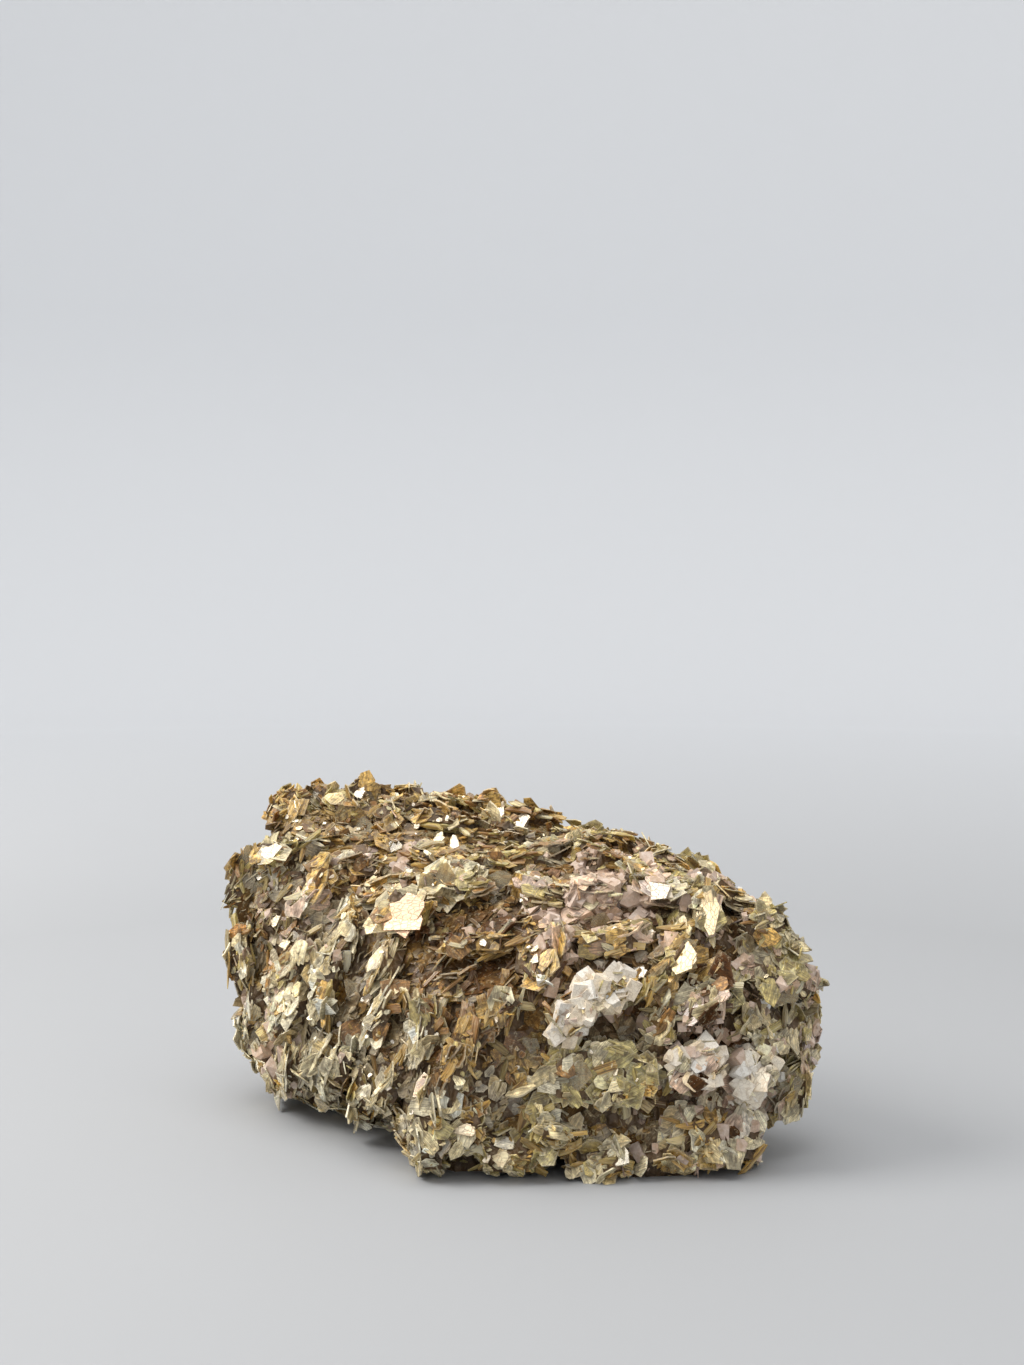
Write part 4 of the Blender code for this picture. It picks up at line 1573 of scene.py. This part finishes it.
class MICA_OT_grains(bpy.types.Operator):
    """Set blocky grains where the mass is pink or white"""

    bl_idname = "mica.grains"
    bl_label = "Grains"

    SEEDS = Seeds(draws=505, places=51, copies=55)
    TRIES = 14

    def execute(self, context):
        shop = workshop()
        sizes = context.scene.mica_sizes
        rng = Random(self.SEEDS.draws)
        leaves = [made for book in shop.books for made in self.blocks(rng, book)]
        least = len(leaves)
        for spot in shop.surface.spots(sizes.grains * self.TRIES, self.SEEDS.places):
            if len(leaves) == least + sizes.grains:
                break
            kind = kind_at(rng, spot.at)
            if kind not in ("pink", "white"):
                continue
            long = sizes.grain / MM * math.exp(rng.gauss(0, 0.35))
            size = (long, long * rng.uniform(0.6, 1.0), long * rng.uniform(0.5, 0.9))
            facing = nudged(rng, spot.out, 60)
            along = nudged(rng, spot.out.orthogonal(), 60)
            at = seated(spot, facing, along, size, rng.uniform(0.4, 1.2))
            leaves.append(Leaf(at, facing, along, size, 0.0, tinted(rng, kind, 0.1), 0.5))
        join_copies("grains", shop.blocks, leaves, grain_finish(), self.SEEDS.copies, ragged=0.05)
        return {"FINISHED"}

    def blocks(self, rng, book):
        """The cleaved blocks that a blocky crystal is made of, in line with it."""
        kind, habit_of = NAMED.get(book.name, ("", ""))
        if habit_of != "blocks":
            return
        turn = turn_to(book.facing, book.along)
        for _ in range(round(book.length * book.width * 0.6)):
            local = Vector((
                book.length * rng.uniform(-0.46, 0.46),
                book.width * rng.uniform(-0.42, 0.42),
                book.thickness * 0.5 - rng.uniform(0.2, 1.4),
            ))
            long = rng.uniform(2.0, 3.8)
            size = (long, long * rng.uniform(0.6, 0.9), long * rng.uniform(0.5, 0.8))
            facing = nudged(rng, book.facing, 14)
            along = nudged(rng, book.along, 16)
            yield Leaf(book.at + turn @ local, facing, along, size, 0.0, tinted(rng, kind, 0.08), 0.5)


class MICA_OT_clear(bpy.types.Operator):
    """Lay clear leaves at their own places and where the mica is silvery"""

    bl_idname = "mica.clear"
    bl_label = "Clear leaves"

    SEEDS = Seeds(draws=606, places=61, copies=66)
    TRIES = 12

    def execute(self, context):
        shop = workshop()
        sizes = context.scene.mica_sizes
        rng = Random(self.SEEDS.draws)
        leaves = []
        forward = view_axes()[2]
        for x, y, broad in CLEAR_PLACES:
            spot = shop.surface.seen_at((x, y))
            for i in range(2):
                facing = nudged(rng, (spot.out * 0.5 - forward).normalized(), 9)
                size = (broad * rng.uniform(0.85, 1.1), broad * rng.uniform(0.65, 0.85), 0.3)
                along = nudged(rng, spot.out.orthogonal(), 60)
                at = spot.at + spot.out * (0.4 - 0.6 * i)
                leaves.append(Leaf(at, facing, along, size, rng.gauss(0, 0.01), CLEAR_TINT, 1.0))
        placed = len(leaves)
        for spot in shop.surface.spots(sizes.clear * self.TRIES, self.SEEDS.places):
            if len(leaves) == placed + sizes.clear:
                break
            if kind_at(rng, spot.at) not in ("silver", "olive"):
                continue
            facing = nudged(rng, spot.out, 20)
            long = rng.uniform(2.5, 4.5)
            size = (long, long * rng.uniform(0.7, 1.0), rng.uniform(0.15, 0.35))
            along = spot.out.orthogonal()
            at = seated(spot, facing, along, size, rng.uniform(0.5, 1.0))
            leaves.append(Leaf(at, facing, along, size, rng.gauss(0, 0.02), CLEAR_TINT, 1.0))
        join_copies("clear_leaves", shop.sheets, leaves, clear_finish(), self.SEEDS.copies, ragged=0.05)
        return {"FINISHED"}


class MICA_OT_mirrors(bpy.types.Operator):
    """Place the bright leaves that lie square to the light"""

    bl_idname = "mica.mirrors"
    bl_label = "Bright leaves"

    SEED = 707
    COPIES = 77
    GLINTS = Seeds(draws=717, places=71, copies=78)

    def execute(self, context):
        shop = workshop()
        rng = Random(self.SEED)
        right, up, forward = view_axes()
        half_way = (key_way() - forward).normalized()
        leaves = []
        for mirror in MIRRORS:
            spot = shop.surface.seen_at(mirror.pixel)
            angle = math.radians(mirror.turn)
            along = right * math.cos(angle) + up * math.sin(angle)
            for i in range(3):
                facing = nudged(rng, half_way, 5)
                share = 1.0 - 0.06 * i
                size = (mirror.length * share, mirror.width * share * 1.2, 0.22)
                at = spot.at - forward * (0.9 - 0.3 * i)
                tint = tinted(rng, mirror.kind, 0.05)
                leaves.append(Leaf(at, facing, along, size, rng.gauss(0, 0.01), tint, 1.0))
        finish = mirror_finish()
        join_copies("bright_leaves", shop.sheets, leaves, finish, self.COPIES, ragged=0.18)
        glints = self.glints(context, half_way)
        join_copies("glints", shop.chips, glints, finish, self.GLINTS.copies, ragged=0.12)
        return {"FINISHED"}

    def glints(self, context, half_way):
        """Small bright chips all over, some of them square to the light in the main view."""
        shop = workshop()
        rng = Random(self.GLINTS.draws)
        leaves = []
        for spot in shop.surface.spots(context.scene.mica_sizes.glints, self.GLINTS.places):
            turned = spot.out.dot(half_way) > 0.2 and rng.random() < 0.5
            facing = nudged(rng, half_way, 7) if turned else swayed(rng, spot.out, spot.at, 34)
            long = 0.95 * math.exp(rng.gauss(0, 0.35))
            size = (long, long * rng.uniform(0.45, 0.9), 0.12)
            along = nudged(rng, spot.facet.orthogonal(), 60)
            at = seated(spot, facing, along, size, rng.uniform(0.6, 1.1))
            tint = tinted(rng, rng.choice(("white", "silver", "pale")), 0.08)
            leaves.append(Leaf(at, facing, along, size, 0.0, tint, 1.0))
        return leaves


class MICA_OT_stage(bpy.types.Operator):
    """Set out the studio: floor, lights and camera"""

    bl_idname = "mica.stage"
    bl_label = "Stage"

    def execute(self, context):
        scene = context.scene
        scene.view_settings.view_transform = "Standard"
        self.floor(context)
        self.light(scene)
        self.camera(scene)
        return {"FINISHED"}

    def floor(self, context):
        """A round floor that sweeps up into a low wall, well outside every view's camera."""
        bpy.ops.object.select_all(action="DESELECT")
        bpy.ops.mesh.primitive_circle_add(vertices=96, radius=FLOOR_RADIUS, fill_type="NGON")
        floor = context.active_object
        floor.name = "floor"
        bpy.ops.object.mode_set(mode="EDIT")
        bpy.ops.mesh.select_mode(type="EDGE")
        reach, height = FLOOR_RADIUS, 0.0
        for i in range(SWEEP_STEPS):
            angle = math.pi / 2 * (i + 0.5) / SWEEP_STEPS
            stride = SWEEP * math.pi / 2 / SWEEP_STEPS
            wider = (reach + math.cos(angle) * stride) / reach
            self.raise_rim(context, height, math.sin(angle) * stride, wider)
            reach *= wider
            height += math.sin(angle) * stride
        self.raise_rim(context, height, WALL_HEIGHT, 1.0)
        bpy.ops.mesh.select_all(action="SELECT")
        bpy.ops.mesh.normals_make_consistent(inside=True)
        bpy.ops.object.mode_set(mode="OBJECT")
        bpy.ops.object.shade_smooth_by_angle(angle=math.radians(30))
        shader = Shader("studio floor", Roughness=0.7)
        place = shader.place()
        cloud = shader.noise(place, 6.0, 3.0)
        base = (*context.scene.mica_colours.floor, 1)
        dull = (*[part * DULL_TONE for part in context.scene.mica_colours.floor], 1)
        wall = (*[part * WALL_LIGHT_TONE for part in context.scene.mica_colours.floor], 1)
        reach = shader.node("ShaderNodeVectorMath", {"operation": "LENGTH"}, {0: place}, output=1)
        # painted light: the floor grows paler from PALER_FROM out to the wall, making up for the weaker
        # light there
        painted_wall_light = shader.ramp(reach, (PALER_FROM, 0.0), (FLOOR_RADIUS, 1.0))
        shader.shows(Base_Color=shader.mix(painted_wall_light, shader.mix(cloud, dull, base), wall))
        floor.data.materials.append(shader.material)
        floor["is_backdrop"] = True

    def raise_rim(self, context, height, rise, wider):
        """Extrude the outermost ring of edges upwards and outwards."""
        bpy.ops.mesh.select_all(action="DESELECT")
        mesh = bmesh.from_edit_mesh(context.active_object.data)
        for edge in mesh.edges:
            edge.select_set(len(edge.link_faces) == 1)
        bmesh.update_edit_mesh(context.active_object.data)
        bpy.ops.mesh.extrude_region_move(TRANSFORM_OT_translate={"value": (0, 0, rise)})
        bpy.ops.transform.resize(value=(wider, wider, 1.0))

    def light(self, scene):
        """A wide window to the left and above, a ceiling light and a pale room all round."""
        key = bpy.data.lights.new("window", "AREA")
        key.shape = "RECTANGLE"
        key.size = KEY_SIZE * MM
        key.size_y = KEY_SIZE * MM
        key.energy = KEY_ENERGY
        key.color = KEY_COLOUR
        lamp = bpy.data.objects.new("window", key)
        lamp.location = key_way() * KEY_DISTANCE * MM + Vector((0, 0, AIM_HEIGHT))
        lamp.rotation_euler = (-key_way()).to_track_quat("-Z", "Y").to_euler()
        scene.collection.objects.link(lamp)
        top = bpy.data.lights.new("ceiling light", "AREA")
        top.size = CEILING_SIZE
        top.energy = CEILING_ENERGY
        lamp = bpy.data.objects.new("ceiling light", top)
        lamp.location = (0, 0, CEILING_HEIGHT)
        scene.collection.objects.link(lamp)
        world = bpy.data.worlds.new("room")
        world.use_nodes = True
        world.node_tree.nodes["Background"].inputs["Color"].default_value = ROOM_COLOUR
        world.node_tree.nodes["Background"].inputs["Strength"].default_value = ROOM_STRENGTH
        scene.world = world

    def camera(self, scene):
        data = bpy.data.cameras.new("camera")
        data.lens = LENS
        data.sensor_width = SENSOR
        data.clip_start = 0.01
        camera = bpy.data.objects.new("camera", data)
        right, up, forward = view_axes()
        turn = Matrix((right, up, -forward)).transposed().to_4x4()
        camera.matrix_world = Matrix.Translation(CAMERA_AT * MM) @ turn
        scene.collection.objects.link(camera)
        scene.camera = camera


OPERATORS = (
    MICA_OT_ground,
    MICA_OT_books,
    MICA_OT_fans,
    MICA_OT_sheaves,
    MICA_OT_scales,
    MICA_OT_chips,
    MICA_OT_grains,
    MICA_OT_clear,
    MICA_OT_mirrors,
    MICA_OT_stage,
)


class MICA_PT_panel(bpy.types.Panel):
    """Sizes, colours and pieces of the mica crystal"""

    bl_idname = "MICA_PT_panel"
    bl_label = "Mica crystal"
    bl_space_type = "VIEW_3D"
    bl_region_type = "UI"
    bl_category = "Mica"

    def draw(self, context):
        scene = context.scene
        for group in (scene.mica_sizes, scene.mica_colours):
            for name in group.bl_rna.properties.keys():
                if name not in ("rna_type", "name"):
                    self.layout.prop(group, name)
        for operator in OPERATORS:
            self.layout.operator(operator.bl_idname)


CLASSES = (MicaColours, MicaSizes, *OPERATORS, MICA_PT_panel)


def register():
    for kind in CLASSES:
        bpy.utils.register_class(kind)
    bpy.types.Scene.mica_colours = PointerProperty(type=MicaColours)
    bpy.types.Scene.mica_sizes = PointerProperty(type=MicaSizes)


def unregister():
    del bpy.types.Scene.mica_sizes
    del bpy.types.Scene.mica_colours
    for kind in reversed(CLASSES):
        bpy.utils.unregister_class(kind)


def main():
    register()
    for operator in OPERATORS:
        group, name = operator.bl_idname.split(".")
        getattr(getattr(bpy.ops, group), name)()
    boxes = {"cad": CAD_BOX, "visual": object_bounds()}
    boxes = {name: [list(corner) for corner in box] for name, box in boxes.items()}


if __name__ == "__main__":
    main()
